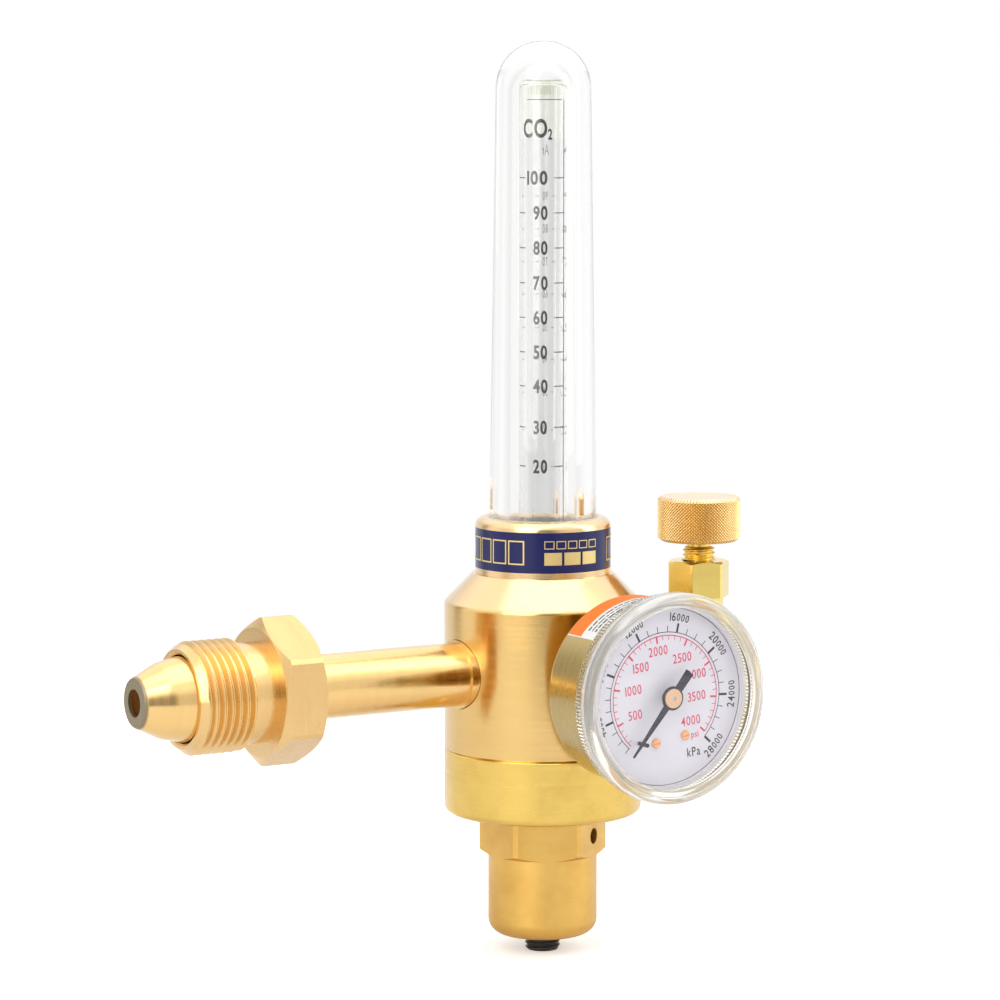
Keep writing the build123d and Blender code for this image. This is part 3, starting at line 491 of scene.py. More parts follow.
def latheShape(corners, count=96):
    points = [point for radius, height in roundCorners(corners) for point in ringPoints(radius, height, count)]
    return points, ringFaces(range(0, len(points), count), count)


def threadShape(radius, depth, pitch, low, high, limit, count=96):
    # each row of points follows the helix; limit(height) is the radius that end chamfers allow.
    # section holds shares of the pitch and of the thread's depth.
    section = [(0.0, 0.0), (0.12, 0.0), (0.25, 0.36), (0.38, 0.74),
               (0.48, 1.0), (0.6, 1.0), (0.74, 0.62), (0.88, 0.3)]
    rows = (ceil((high - low) / pitch) + 2) * len(section)
    points, faces = [], []
    for row in range(rows):
        share, drop = section[row % len(section)]
        start = low - pitch + (row // len(section) + share) * pitch
        for side in range(count):
            height = min(high, max(low, start + pitch * side / count))
            points.append(ringPoint(min(radius - depth * drop, limit(height)), height, side, count))
    for row in range(rows - 1):
        for side in range(count):
            here, above = row * count + side, (row + 1) * count + side
            if side + 1 < count:
                faces.append((here, here + 1, above + 1, above))
            elif row + 1 + len(section) < rows:
                faces.append((here, (row + len(section)) * count, (row + 1 + len(section)) * count, above))
    return points, faces


# inlet nut: a chamfered hexagon, a relief and the thread
nut = {
    "flats": 28.575, "corners": 32.4, "cornerCut": 30.0, "faceEdge": 0.25, "edgeFall": 0.12,
    "back": 62.3, "hexFront": 72.4, "reliefRadius": 11.0, "threadBack": 77.6, "front": 90.9,
    "frontRadius": 10.7, "threadRadius": 12.25, "pitch": 1.814, "threadDepth": 1.05, "backSlope": 1.5,
    "frontSlope": 0.8, "bore": 7.2, "noseBore": 9.55, "noseStep": 84.15, "noseFall": 2.35, "mouthCut": 0.5,
    "apart": 0.001,  # keeps the flat rings' points apart from the round walls' points
}


def hexagonShape():
    # across: degrees from the middle of a flat, closer together at the corners
    across = [-28.1, -24, -18, -12, -6, 0, 6, 12, 18, 24, 28.1, 29.4]
    flat, low, high = nut["flats"] / 2, nut["back"], nut["hexFront"]
    face = flat - nut["faceEdge"]
    rows = [[] for row in range(6)]
    for side in range(6):
        for offset in across:
            turn = radians(side * 60 + offset)
            reach = min(flat / cos(radians(offset)), nut["corners"] / 2)
            fall = (reach - flat) * tan(radians(nut["cornerCut"])) + nut["edgeFall"]
            sizes = ((nut["bore"] + nut["apart"], low), (face, low), (reach, low + fall),
                     (reach, high - fall), (face, high), (nut["reliefRadius"] - nut["apart"], high))
            for row, (radius, height) in zip(rows, sizes):
                row.append((radius * cos(turn), radius * sin(turn), height))
    points = [point for row in rows for point in row]
    return points, ringFaces(range(0, len(points), len(rows[0])), len(rows[0]))


def makeNut():
    relief, front, nose = nut["reliefRadius"], nut["front"], nut["noseBore"]

    def limit(height):
        rise = relief + max(0, height - nut["threadBack"]) * nut["backSlope"]
        fall = nut["frontRadius"] + (front - height) * nut["frontSlope"]
        return min(rise, fall)

    neck = latheShape([(relief, nut["hexFront"]), (relief, nut["threadBack"] + nut["apart"])])
    thread = threadShape(nut["threadRadius"], nut["threadDepth"], nut["pitch"], nut["threadBack"], front, limit)
    mouth = latheShape([
        (nut["frontRadius"], front), (nose + nut["mouthCut"], front), (nose, front - nut["mouthCut"]),
        (nose, nut["noseStep"]), (nut["bore"], nut["noseStep"] - nut["noseFall"]), (nut["bore"], nut["back"]),
    ])
    shapes = [hexagonShape(), neck, thread, mouth]
    piece = addPiece("inletNut", shapes, inletFrame, ["nutBrass"], 25, body="nut")
    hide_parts("inlet_nut")


makeNut()
print("inlet nut made")

# adjusting screw: a black set screw with its thread and hexagon socket
setScrew = {"foot": -64.55, "top": -54.0, "radius": 3.97, "pitch": 1.058, "threadDepth": 0.5, "footCut": 0.6,
            "topCut": 1.2, "socketFlats": 3.97, "socketDepth": 4.5, "socketPoint": 0.8, "sides": 64}


def makeSetScrew():
    foot, top, radius, sides = (setScrew[name] for name in ("foot", "top", "radius", "sides"))
    footRadius, topRadius = radius - setScrew["footCut"], radius - setScrew["topCut"]
    floor = foot + setScrew["socketDepth"]

    def limit(height):
        return min(footRadius + (height - foot), topRadius + (top - height))

    thread = threadShape(radius, setScrew["threadDepth"], setScrew["pitch"], foot, top, limit, sides)
    cap = latheShape([(topRadius, top), (0.0, top)], sides)
    edge, deep = [], []
    for side in range(sides):
        # degrees from the middle of a flat of the socket
        offset = (side % (sides / 6)) * 360 / sides - 30
        reach = setScrew["socketFlats"] / 2 / cos(radians(offset))
        edge.append(ringPoint(reach, foot, side, sides))
        deep.append(ringPoint(reach, floor, side, sides))
    points = ringPoints(footRadius, foot, sides) + edge + deep + [(0, 0, floor + setScrew["socketPoint"])]
    faces = ringFaces((0, sides, 2 * sides), sides)
    faces += [(2 * sides + side, 2 * sides + (side + 1) % sides, 3 * sides) for side in range(sides)]
    piece = addPiece("setScrew", [thread, cap, (points, faces)], stackFrame, ["blackSteel"], 25, body="screw")
    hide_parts("adjusting_screw")


makeSetScrew()
print("set screw made")

# valve stem with its thread, and the knurled knob
stem = {"tip": -4.0, "seat": -2.0, "shankFoot": -0.6, "threadFoot": 14.0, "neckFoot": 25.0, "top": 34.2,
        "tipRadius": 0.8, "seatRadius": 1.25, "shankRadius": 2.0, "radius": 3.8, "neckRadius": 2.75,
        "pitch": 1.058, "threadDepth": 0.55, "footSlope": 3, "neckSlope": 2.2, "sides": 64}
knob = {"foot": 26.2, "top": 36.5, "radius": 9.55, "chamfer": 0.8, "diamonds": 76, "rows": 24,
        "knurlDepth": 0.32, "rim": 0.6, "dishEdge": 1.0, "dish": 0.15, "footCut": 0.3, "bore": 2.8,
        "boreTop": 34.25}


def makeStem():
    shank, neck, sides = stem["shankRadius"], stem["neckRadius"], stem["sides"]
    low, high = stem["threadFoot"], stem["neckFoot"]

    def limit(height):
        return min(shank + (height - low) * stem["footSlope"], neck + (high - height) * stem["neckSlope"])

    thread = threadShape(stem["radius"], stem["threadDepth"], stem["pitch"], low, high, limit, sides)
    needle = latheShape([
        (0.0, stem["tip"]), (stem["tipRadius"], stem["tip"]), (stem["seatRadius"], stem["seat"]),
        (shank, stem["shankFoot"]), (shank, low),
    ], sides)
    top = latheShape([(neck, high), (neck, stem["top"]), (0.0, stem["top"])], sides)
    piece = addPiece("valveStem", [needle, thread, top], valveFrame, ["valveBrass"], 25, body="stem")
    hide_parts("valve_stem")


def makeKnob():
    # pyramids between two sets of crossing grooves
    count, rows, bore = knob["diamonds"] * 2, knob["rows"], knob["bore"]
    low, high = knob["foot"] + knob["chamfer"], knob["top"] - knob["chamfer"]
    points, faces = [], []
    for row in range(rows + 1):
        for side in range(count):
            radius = knob["radius"] - (0 if (row + side) % 2 else knob["knurlDepth"])
            points.append(ringPoint(radius, low + (high - low) * row / rows, side, count))
    for row in range(rows):
        for side in range(count):
            one, two = row * count + side, row * count + (side + 1) % count
            three, four = two + count, one + count
            if (row + side) % 2:
                faces += [(one, two, four), (two, three, four)]
            else:
                faces += [(one, two, three), (one, three, four)]
    inner, dish = knob["radius"] - knob["chamfer"], knob["top"] - knob["dish"]
    crown = [(inner, knob["top"]), (inner - knob["rim"], knob["top"]), (inner - knob["dishEdge"], dish),
             (0.0, dish)]
    under = [(inner - knob["footCut"], knob["foot"]), (bore, knob["foot"]), (bore, knob["boreTop"]),
             (0.0, knob["boreTop"])]
    for edge, rings in ((rows * count, crown), (0, under)):
        faces += ringFaces([edge] + [len(points) + ring * count for ring in range(len(rings))], count)
        for radius, height in rings:
            points += ringPoints(radius, height, count)
    piece = addPiece("valveKnob", [(points, faces)], valveFrame, ["knobBrass"], 20, body="knob")
    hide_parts("valve_knob")


makeStem()
makeKnob()
print("stem and knob made")

# clear tubes
outerTube = {"foot": 27.2, "footRadius": 12.0, "neckTop": 34.2, "topRadius": 10.45, "apex": 140.0,
             "boreFoot": 7.6, "boreTop": 7.1, "boreApex": 135.6, "dome": 0.98, "sides": 160}
flowTube = {"foot": 22.1, "top": 130.5, "radius": 5.4, "boreFoot": 2.5, "boreTop": 3.1, "tintFoot": 118.5,
            "footRound": 0.3, "topRound": 0.8, "mouthCut": 0.4, "sides": 128}


def makeOuterTube():
    tube, sides = outerTube, outerTube["sides"]
    shell = latheShape([
        (tube["boreFoot"], tube["foot"]), (tube["footRadius"], tube["foot"]),
        (tube["footRadius"], tube["neckTop"]),
        (tube["topRadius"], tube["apex"], tube["topRadius"] * tube["dome"]), (0.0, tube["apex"]),
    ], sides)
    hollow = latheShape([
        (tube["boreFoot"], tube["foot"]), (tube["boreTop"], tube["boreApex"], tube["boreTop"] * tube["dome"]),
        (0.0, tube["boreApex"]),
    ], sides)
    # the foot and the wall above it are cloudy
    marks = [1] * (2 * sides) + [0] * (len(shell[1]) + len(hollow[1]) - 2 * sides)
    piece = addPiece("outerTube", [shell, hollow], stackFrame, ["outerClear", "footClear"], 25, marks)
    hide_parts("outer_tube")


def makeFlowTube():
    tube, cut = flowTube, flowTube["mouthCut"]
    shape = latheShape([
        (tube["boreFoot"], tube["foot"]), (tube["radius"], tube["foot"], tube["footRound"]),
        (tube["radius"], tube["tintFoot"]), (tube["radius"], tube["top"], tube["topRound"]),
        (tube["boreTop"] + cut, tube["top"]), (tube["boreTop"], tube["top"] - cut),
        (tube["boreFoot"], tube["foot"]),
    ], tube["sides"])
    # the top of the tube has a yellow-green tint
    heights = [point[2] for point in shape[0]]
    marks = [1 if min(heights[index] for index in face) > tube["tintFoot"] - 0.1 else 0 for face in shape[1]]
    piece = addPiece("flowTube", [shape], stackFrame, ["innerClear", "tintClear"], 25, marks)
    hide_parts("flow_tube")


makeOuterTube()
makeFlowTube()
print("tubes made")


# printing: numerals as thin faces, from Blender's own font
glyphs = {}


def readGlyph(letter, weight):
    if (letter, weight) in glyphs:
        return glyphs[letter, weight]
    data = bpy.data.curves.new("glyph", "FONT")
    data.body = letter
    data.offset = weight
    data.resolution_u = 4
    text = addObject("glyph", data)
    bpy.context.view_layer.update()
    mesh = bpy.data.meshes.new_from_object(text.evaluated_get(bpy.context.evaluated_depsgraph_get()))
    points = [(point.co.x, point.co.y) for point in mesh.vertices]
    faces = [tuple(face.vertices) for face in mesh.polygons]
    bpy.data.objects.remove(text)
    bpy.data.curves.remove(data)
    bpy.data.meshes.remove(mesh)
    left = min(x for x, y in points)
    width = max(x for x, y in points) - left
    glyphs[letter, weight] = [(x - left, y) for x, y in points], faces, width
    return glyphs[letter, weight]


digitHeight = max(y for x, y in readGlyph("1", 0.0)[0])


def writeLine(letters, height, squeeze=1.0, weight=0.0, gap=0.1, small=None):
    # letters in a row about the origin; small gives the height of the zeros that end a number
    shapes, reach = [], 0.0
    for index, letter in enumerate(letters):
        points, faces, width = readGlyph(letter, weight)
        size = small if small and index >= len(letters) - 3 else height
        scale = size / digitHeight
        placed = [(x * scale * squeeze + reach, y * scale - size / 2) for x, y in points]
        shapes.append((placed, faces, reach + width * scale * squeeze / 2))
        reach += width * scale * squeeze + gap * height
    half = (reach - gap * height) / 2
    return [([(x - half, y) for x, y in points], faces, middle - half) for points, faces, middle in shapes]


# dial print: two scales; angles go clockwise from the gauge's upright, as seen from the front
dial = {
    "face": 49.5, "lift": 0.03, "start": -139.4, "numeralRing": 17.2, "flipAfter": 70, "levelHeight": 1.95,
    "outer": {"arc": 13.9, "width": 0.16, "zero": -148.8, "step": 10.054, "end": 132.6, "marks": range(1, 29),
              "every": 4, "tick": (15.25, 0.17), "major": (15.9, 0.5)},
    "inner": {"arc": 13.2, "width": 0.2, "zero": -149.3, "step": 6.96, "end": 129.0, "marks": range(2, 41),
              "every": 5, "tick": (12.2, 0.15), "major": (11.65, 0.42)},
    "ringLetters": {"height": 1.75, "squeeze": 0.85, "weight": 0.012, "gap": 0.16, "small": 1.5},
    "levelLetters": {"squeeze": 0.78, "weight": 0.008, "gap": 0.13},
    "levelNumbers": {
        "500": (-7.6, -3.4), "1000": (-8.1, 1.95), "1500": (-6.2, 6.7), "2000": (-1.85, 9.95),
        "2500": (4.3, 8.1), "3000": (8.1, 4.3), "3500": (8.1, -0.5), "4000": (6.6, -5.7),
    },
    "innerUnit": ("psi", 7.7, -8.7, 1.5), "outerUnit": ("kPa", 7.4, -12.5, 1.9),
}


def clockPoint(radius, angle):
    turn = radians(angle)
    return radius * sin(turn), radius * cos(turn)


def ribbonShape(edges, start, end, steps):
    # faces along an arc; edges(angle) gives the two points across it
    points, faces = [], []
    for step in range(steps + 1):
        points += edges(start + (end - start) * step / steps)
        if step:
            first = 2 * step - 2
            faces.append((first, first + 2, first + 3, first + 1))
    return points, faces


def tickShape(inner, outer, width, angle, height):
    across = Vector(clockPoint(width / 2, angle + 90))
    low, high = Vector(clockPoint(inner, angle)), Vector(clockPoint(outer, angle))
    corners = [low - across, low + across, high + across, high - across]
    return [(corner.x, corner.y, height) for corner in corners], [(0, 1, 2, 3)]


def scaleShapes(scale, height):
    # an arc and its ticks
    def edges(angle):
        return [clockPoint(scale["arc"] + side * scale["width"] / 2, angle) + (height,) for side in (1, -1)]

    shapes = [ribbonShape(edges, dial["start"], scale["end"], 140)]
    for mark in scale["marks"]:
        end, width = scale["tick"] if mark % scale["every"] else scale["major"]
        shapes.append(tickShape(scale["arc"], end, width, scale["zero"] + scale["step"] * mark, height))
    return shapes


def turnShape(points, faces, angle, place, height):
    turn = radians(angle)
    turned = [(x * cos(turn) - y * sin(turn) + place[0],
               x * sin(turn) + y * cos(turn) + place[1], height) for x, y in points]
    return turned, faces


def makeDialPrint():
    height = dial["face"] + dial["lift"]
    outer, ring = dial["outer"], dial["numeralRing"]
    black, red = scaleShapes(outer, height), scaleShapes(dial["inner"], height)
    for thousand in range(4, 29, 4):
        angle = outer["zero"] + outer["step"] * thousand
        # the last two numbers read the other way up
        flip = angle > dial["flipAfter"]
        for points, faces, middle in writeLine(f"{thousand}000", **dial["ringLetters"]):
            here = angle + degrees(middle / ring) * (-1 if flip else 1)
            spin = -here + (180 if flip else 0)
            shifted = [(x - middle, y) for x, y in points]
            black.append(turnShape(shifted, faces, spin, clockPoint(ring, here), height))
    lines = [(number, x, y, dial["levelHeight"], red) for number, (x, y) in dial["levelNumbers"].items()]
    lines += [dial["innerUnit"] + (red,), dial["outerUnit"] + (black,)]
    for letters, x, y, size, shapes in lines:
        for points, faces, middle in writeLine(letters, size, **dial["levelLetters"]):
            shapes.append(turnShape(points, faces, dialTurn, (x, y), height))
    for name, shapes, ink in (("outerScale", black, "blackInk"), ("innerScale", red, "redInk")):
        piece = addPiece(name, shapes, gaugeFrame, [ink])


makeDialPrint()
print("dial printed")

# flow scale: numbers and ticks wrapped on the inner tube, towards the camera's side and on the back;
# places on the tube are in degrees from the middle of their side
flowScale = {
    "radius": 5.43, "facing": -30.92, "height": 2.8, "squeeze": 0.66, "weight": 0.03, "gap": 0.09,
    "numberAt": -7.0, "longAt": -15.0, "longSqueeze": 1.18, "longGap": 0.12,
    "numbers": {"100": 109.83, "90": 102.12, "80": 94.39, "70": 86.65, "60": 79.01, "50": 71.35,
                "40": 63.78, "30": 54.64, "20": 45.93},
    "ticks": [(-66.0, -43.0), (23.0, 49.0)], "tickWidth": 0.22,
    "line": (50.0, 33.6, 127.0), "lineWidth": 0.26, "topLine": (-38.0, 43.0, 0.16, 127.0),
    # the gas: its letters, their height on the tube, place, size and squeeze
    "gas": [("CO", 120.7, -20.5, 3.8, 0.605), ("2", 119.4, 14.0, 2.2, 0.57)],
    "backGas": ("Ar", 115.9, -8.0, 2.4, 0.66),
    "backHeights": [105.65, 98.37, 91.08, 83.88, 76.46, 69.35, 62.0, 53.53, 45.26],
    "backLetters": {"at": -8.0, "size": 1.9, "squeeze": 0.66, "weight": 0.01, "gap": 0.12},
    "backTicks": [(-58.0, -38.0), (16.0, 36.0)], "backTickWidth": 0.18,
}


def wrapOnTube(shape, radius, facing, height, every=0.5):
    # x runs along the tube's skin, so wide faces are first cut into narrow ones
    points, faces = shape
    build = bmesh.new()
    verts = [build.verts.new((x, y, 0)) for x, y in points]
    for face in faces:
        build.faces.new([verts[index] for index in face])
    cuts = int(max(abs(x) for x, y in points) / every)
    for cut in range(-cuts, cuts + 1):
        geometry = build.verts[:] + build.edges[:] + build.faces[:]
        at = (cut * every, 0, 0)
        bmesh.ops.bisect_plane(build, geom=geometry, dist=1e-6, plane_co=at, plane_no=(1, 0, 0))
    build.verts.index_update()
    wrapped = []
    for vert in build.verts:
        turn = radians(facing) + vert.co.x / radius
        wrapped.append((radius * sin(turn), -radius * cos(turn), height + vert.co.y))
    narrow = [tuple(vert.index for vert in face.verts) for face in build.faces]
    build.free()
    return wrapped, narrow


def makeFlowScale():
    scale, radius = flowScale, flowScale["radius"]
    printed = {0: [], 180: []}  # by degrees from the camera's side

    def wrap(turn, points, faces, height):
        printed[turn].append(wrapOnTube((points, faces), radius, scale["facing"] + turn, height))

    def rule(turn, start, end, width, height):
        low, high = radians(start) * radius, radians(end) * radius
        corners = [(low, -width / 2), (high, -width / 2), (high, width / 2), (low, width / 2)]
        wrap(turn, corners, [(0, 1, 2, 3)], height)

    def write(turn, letters, height, at, size, squeeze, weight=0.0, gap=0.1):
        for points, faces, middle in writeLine(letters, size, squeeze, weight, gap):
            wrap(turn, [(x + radians(at) * radius, y) for x, y in points], faces, height)

    for number, height in scale["numbers"].items():
        if len(number) > 2:
            place, squeeze, gap = scale["longAt"], scale["squeeze"] * scale["longSqueeze"], scale["longGap"]
        else:
            place, squeeze, gap = scale["numberAt"], scale["squeeze"], scale["gap"]
        write(0, number, height, place, scale["height"], squeeze, scale["weight"], gap)
        for start, end in scale["ticks"]:
            rule(0, start, end, scale["tickWidth"], height)
    at, low, high = scale["line"]
    half = degrees(scale["lineWidth"] / 2 / radius)
    rule(0, at - half, at + half, high - low, (low + high) / 2)
    rule(0, *scale["topLine"])
    for gas in scale["gas"]:
        write(0, *gas, scale["weight"])
    write(180, *scale["backGas"])
    for index, height in enumerate(scale["backHeights"]):
        write(180, str(90 - 10 * index), height, **scale["backLetters"])
        for start, end in scale["backTicks"]:
            rule(180, start, end, scale["backTickWidth"], height)
    for name, turn, ink in (("flowNumbers", 0, "tubeInk"), ("backNumbers", 180, "paleInk")):
        piece = addPiece(name, printed[turn], stackFrame, [ink], 180)


makeFlowScale()
print("flow scale printed")

# gold marks on the blue band: plain boxes and bars in the place of lettering, twice round.
# A row: how many, then in degrees where it starts, from one to the next, and the width.
bandMarks = {
    "radius": 15.26, "middle": 27.5, "half": 2.7, "facing": -30.92, "thick": 0.32, "thin": 0.2,
    "boxes": (6, -113, 16.4, 14.6), "smallBoxes": (5, 0.5, 10.1, 8.4), "bars": (3, 0.5, 17, 14.8),
    "smallFoot": 0.9, "barTop": 0.1,
}


def barShape(start, end, low, high, steps=8):
    def edges(angle):
        x, y = clockPoint(bandMarks["radius"], angle)
        return [(x, -y, low), (x, -y, high)]

    return ribbonShape(edges, start, end, steps)


def boxShapes(start, end, low, high, width):
    # the outline of a box on the band
    side = degrees(width / bandMarks["radius"])
    return [barShape(start, end, low, low + width), barShape(start, end, high - width, high),
            barShape(start, start + side, low, high, 2), barShape(end - side, end, low, high, 2)]


def makeBandMarks():
    middle = bandMarks["middle"]
    low, high = middle - bandMarks["half"], middle + bandMarks["half"]
    shapes = []

    def spans(base, name):
        count, first, step, width = bandMarks[name]
        starts = [base + first + index * step for index in range(count)]
        return [(start, start + width) for start in starts]

    for base in (bandMarks["facing"], bandMarks["facing"] + 180):
        for start, end in spans(base, "boxes"):
            shapes += boxShapes(start, end, low, high, bandMarks["thick"])
        for start, end in spans(base, "smallBoxes"):
            shapes += boxShapes(start, end, middle + bandMarks["smallFoot"], high, bandMarks["thin"])
        for start, end in spans(base, "bars"):
            shapes.append(barShape(start, end, low, middle + bandMarks["barTop"]))
    piece = addPiece("bandMarks", shapes, stackFrame, ["goldPrint"], 180)


makeBandMarks()
print("band marked")

# gauge window: a clear moulding with a ribbed skirt, a smooth rim and a recessed pane
window = {
    "inner": 20.25, "pane": 19.5, "skirt": 22.1, "rim": 22.75, "back": 48.5, "rimBack": 51.5,
    "paneBack": 53.3, "paneFront": 54.4, "front": 54.9, "ribs": 168, "ribDepth": 0.22,
    "frontRound": 1.3, "fineRound": 0.15, "groove": (21.3, 21.1, 20.9), "grooveDepth": 0.2,
    # the hollow's front corner: how far each point is from the wall and from the pane
    "corner": [(0.7, 0.0), (0.25, 0.35), (0.0, 0.9)],
}


def makeWindow():
    # four points a rib round the skirt, and the same count for all other rings
    count = window["ribs"] * 4
    inner, pane, skirt, rim = (window[name] for name in ("inner", "pane", "skirt", "rim"))
    back, rimBack, paneBack, front = (window[name] for name in ("back", "rimBack", "paneBack", "front"))
    groove, fine = window["groove"], window["fineRound"]
    profile = roundCorners([
        (inner, back), (skirt - 0.25, back), (skirt, back + 0.35), (skirt, rimBack - 0.25),
        (skirt - 0.1, rimBack), (rim, rimBack + 0.4, 0.2), (rim, front, window["frontRound"]),
        (groove[0], front, fine), (groove[1], front - window["grooveDepth"], fine), (groove[2], front, fine),
        (pane + 0.5, front, 0.2), (pane, window["paneFront"]),
    ])
    points, marks = [], []
    for radius, height in profile:
        ribbed = skirt - 0.01 < radius < skirt + 0.01
        for side in range(count):
            reach = radius - (window["ribDepth"] if ribbed and side % 4 in (0, 1) else 0)
            points.append(ringPoint(reach, height, side, count))
    for radius, height in profile[1:]:
        marks += [2 if height < rimBack + 0.01 else 0] * count
    outside = (points, ringFaces(range(0, len(points), count), count))
    disc = latheShape([(pane, window["paneFront"]), (0.0, window["paneFront"])], count)
    corner = [(inner - across, paneBack - down) for across, down in window["corner"]]
    under = latheShape([(0.0, paneBack)] + corner + [(inner, rimBack), (inner, back)], count)
    # the disc and the hollow's front are clear, and its side is a dark band of painted shade down to the skirt
    marks += [1] * (len(disc[1]) + 2 * count) + [3] * 2 * count + [2] * count
    piece = addPiece("gaugeWindow", [outside, disc, under], gaugeFrame,
                     ["rimClear", "windowClear", "skirtClear", "rimPaintedShade"], 30, marks)
    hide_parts("gauge_lens")


makeWindow()
print("gauge window made")

# case sticker: an orange strip by the body and a white one by the window
sticker = {
    "radius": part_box("case_label")[1].z * 1000, "lift": 0.03, "back": 35.8, "split": 40.9, "arc": 102.0,
    "lines": [(42.2, 0.5), (43.5, 0.35), (44.7, 0.5), (45.9, 0.35), (47.0, 0.5)],
    "edge": 0.8, "margin": 5, "dashes": (3.2, 5.1, 2.3, 4.2, 6.0), "gap": 0.9,
}


def makeStickerPrint():
    half, margin = sticker["arc"] / 2 - sticker["edge"], sticker["margin"]
    shapes = []

    def strap(start, end, low, high):
        def edges(angle):
            x, y = clockPoint(sticker["radius"] + sticker["lift"], angle)
            return [(x, y, low), (x, y, high)]

        return ribbonShape(edges, start, end, max(2, round(abs(end - start) / 3)))

    orange = strap(-half, half, sticker["back"] + 0.05, sticker["split"])
    for row, (reach, width) in enumerate(sticker["lines"]):
        # short dashes stand for the small print
        angle = -half + margin
        step = 0
        while angle < half - margin - 1:
            length = sticker["dashes"][(step * 3 + row) % 5]
            end = min(half - margin, angle + length)
            shapes.append(strap(angle, end, reach - width / 2, reach + width / 2))
            angle += length + sticker["gap"]
            step += 1
    for name, ink, printed in (("stickerStripe", "orangePaper", [orange]), ("stickerLines", "tubeInk", shapes)):
        piece = addPiece(name, printed, gaugeFrame, [ink], 180)


makeStickerPrint()
print("sticker printed")

# stage: a round white floor, a white room with softer darker sides, and soft lamps
stage = {
    "floorRadius": 0.5, "floorSides": 96, "floorGlow": 0.42, "skyForLight": 0.62, "aim": (0.07, 0, 0.04),
    # brightness of the room round the part: degrees right of the camera's direction, then brightness
    "room": [(-180, 1.0), (-134, 0.92), (-118, 0.5), (-102, 1.18), (-86, 1.2), (-66, 0.98), (-50, 1.14),
             (-28, 0.9), (-10, 0.45), (10, 0.3), (36, 0.9), (52, 1.03), (66, 0.95), (90, 1.03), (122, 1.2),
             (150, 1.0), (180, 1.0)],
    "behindGlass": [(-180, 1.0), (-150, 0.98), (-118, 0.86), (-60, 0.83), (0, 0.86), (60, 0.86), (118, 0.9),
                    (150, 0.98), (180, 1.0)],
    "brightest": 1.25, "lowRoom": 0.72, "overhead": 1.45,
    # where these fade in, as the height or the forward part of a direction
    "lowFade": (-0.25, 0.0), "frontFade": (0.0, 0.7), "highFade": (0.3, 0.6),
}


def makeFloor():
    material, tree, shader = newMaterial("floorWhite")
    white = (0.95, 0.95, 0.95, 1)
    feedInputs(tree, shader, {"Base Color": white, "Roughness": 0.9, "Specular IOR Level": 0.1})
    path = tree.nodes.new("ShaderNodeLightPath")
    seen = addMath(tree, "MAXIMUM", path.outputs["Is Camera Ray"], path.outputs["Is Transmission Ray"])
    glow = multiply(tree, seen, stage["floorGlow"])
    feedInputs(tree, shader, {"Emission Color": (1, 1, 1, 1), "Emission Strength": glow})
    mesh = bpy.data.meshes.new("floor")
    middle = (cadLow + cadHigh) / 2
    ring = ringPoints(stage["floorRadius"], cadLow.z, stage["floorSides"])
    mesh.from_pydata([(middle.x + x, middle.y + y, z) for x, y, z in ring], [], [tuple(range(len(ring)))])
    mesh.materials.append(material)
    floor = addObject("floor", mesh)


def addRoomRamp(tree, place, stops):
    ramp = tree.nodes.new("ShaderNodeValToRGB")
    ramp.color_ramp.interpolation = "EASE"
    elements = ramp.color_ramp.elements
    while len(elements) < len(stops):
        elements.new(0.5)
    for element, (angle, bright) in zip(elements, stops):
        element.position = (angle + 180) / 360
        element.color = (*[bright / stage["brightest"]] * 3, 1)
    tree.links.new(place, ramp.inputs[0])
    return multiply(tree, ramp.outputs[0], stage["brightest"])


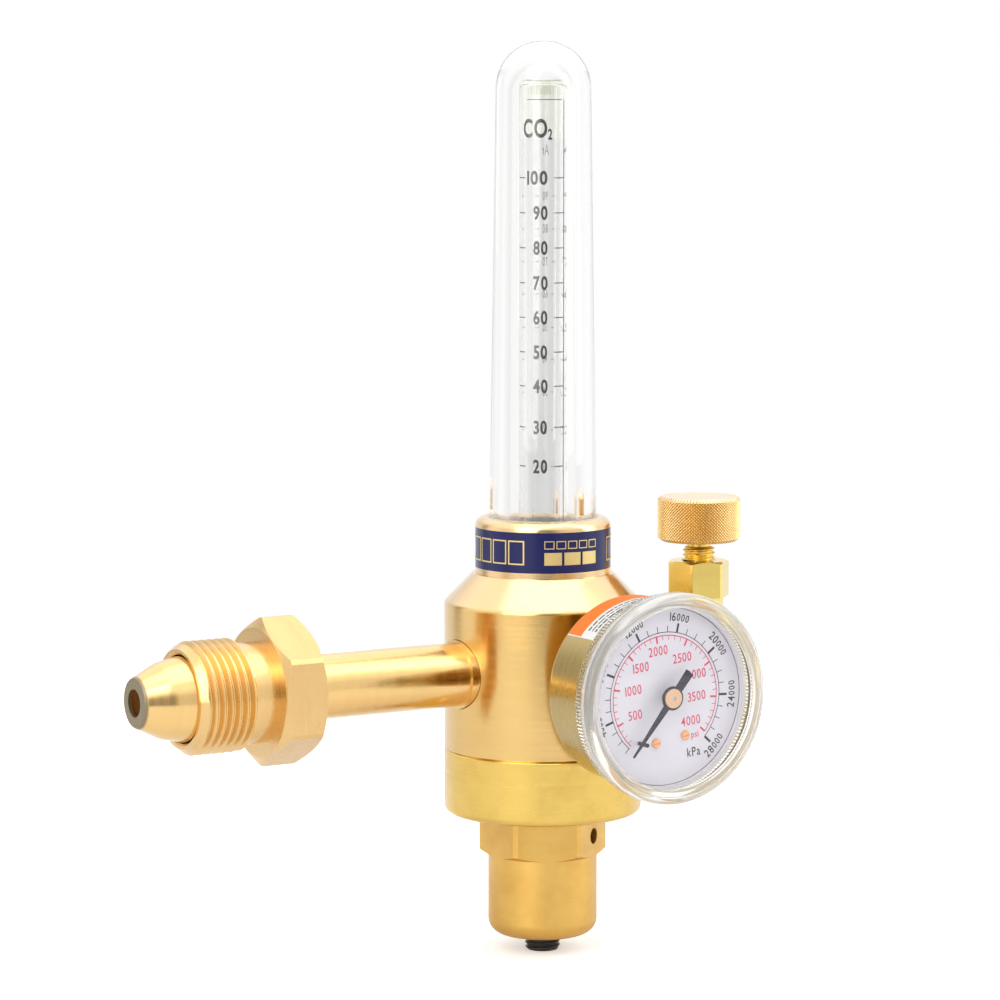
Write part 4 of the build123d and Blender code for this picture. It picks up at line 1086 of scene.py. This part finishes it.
def makeWorld():
    world = bpy.data.worlds.new("studio")
    bpy.context.scene.world = world
    world.use_nodes = True
    tree = world.node_tree
    tree.nodes.clear()
    coordinates = tree.nodes.new("ShaderNodeTexCoord")
    parts = addNode(tree, "ShaderNodeSeparateXYZ", Vector=coordinates.outputs["Generated"])
    x, y, z = (parts.outputs[side] for side in "XYZ")
    # degrees to the right of the direction in which the photographer stood
    turn = radians(view["turn"])
    sine, cosine = sin(turn), cos(turn)
    away = addMath(tree, "ADD", multiply(tree, x, sine), multiply(tree, y, cosine))
    ahead = multiply(tree, away, -1.0)
    right = addMath(tree, "SUBTRACT", multiply(tree, x, cosine), multiply(tree, y, sine))
    place = spread(tree, addMath(tree, "ARCTAN2", right, ahead), -pi, pi, 0, 1)
    room = addRoomRamp(tree, place, stage["room"])
    glass = addRoomRamp(tree, place, stage["behindGlass"])
    # the room is darker low down on the photographer's side, and even overhead
    low = spread(tree, z, *stage["lowFade"], 1, 0)
    front = spread(tree, ahead, *stage["frontFade"], 0, 1)
    high = spread(tree, z, *stage["highFade"], 0, 1)
    shade = multiply(tree, multiply(tree, low, front), 1 - stage["lowRoom"])
    room = multiply(tree, room, addMath(tree, "SUBTRACT", 1.0, shade))
    below = multiply(tree, room, addMath(tree, "SUBTRACT", 1.0, high))
    room = addMath(tree, "ADD", below, multiply(tree, high, stage["overhead"]))
    path = tree.nodes.new("ShaderNodeLightPath")

    def addLight(strength):
        return addNode(tree, "ShaderNodeBackground", Color=(1, 1, 1, 1), Strength=strength).outputs[0]

    shown = addLight(stage["skyForLight"])
    for ray, strength in (("Is Glossy Ray", room), ("Is Transmission Ray", glass), ("Is Camera Ray", 1.0)):
        shown = mixShaders(tree, path.outputs[ray], shown, addLight(strength))
    tree.links.new(shown, tree.nodes.new("ShaderNodeOutputWorld").inputs["Surface"])


lamps = {
    "leftLamp": {"place": (-0.85, -0.55, 0.55), "width": 0.8, "height": 1.3, "power": 7},
    "rightLamp": {"place": (0.95, -0.6, 0.5), "width": 0.5, "height": 1.2, "power": 4},
    "topLamp": {"place": (0.1, -0.1, 1.1), "width": 1.1, "height": 1.1, "power": 4.2},
}


def addLamp(name, place, width, height, power):
    data = bpy.data.lights.new(name, "AREA")
    data.shape = "RECTANGLE"
    data.size = width
    data.size_y = height
    data.energy = power
    lamp = addObject(name, data)
    lamp.location = place
    aim = Vector(stage["aim"]) - Vector(place)
    lamp.rotation_euler = aim.to_track_quat("-Z", "Y").to_euler()


makeFloor()
makeWorld()
for name, lamp in lamps.items():
    addLamp(name, **lamp)
bpy.context.scene.view_settings.view_transform = "Standard"
print("stage set")
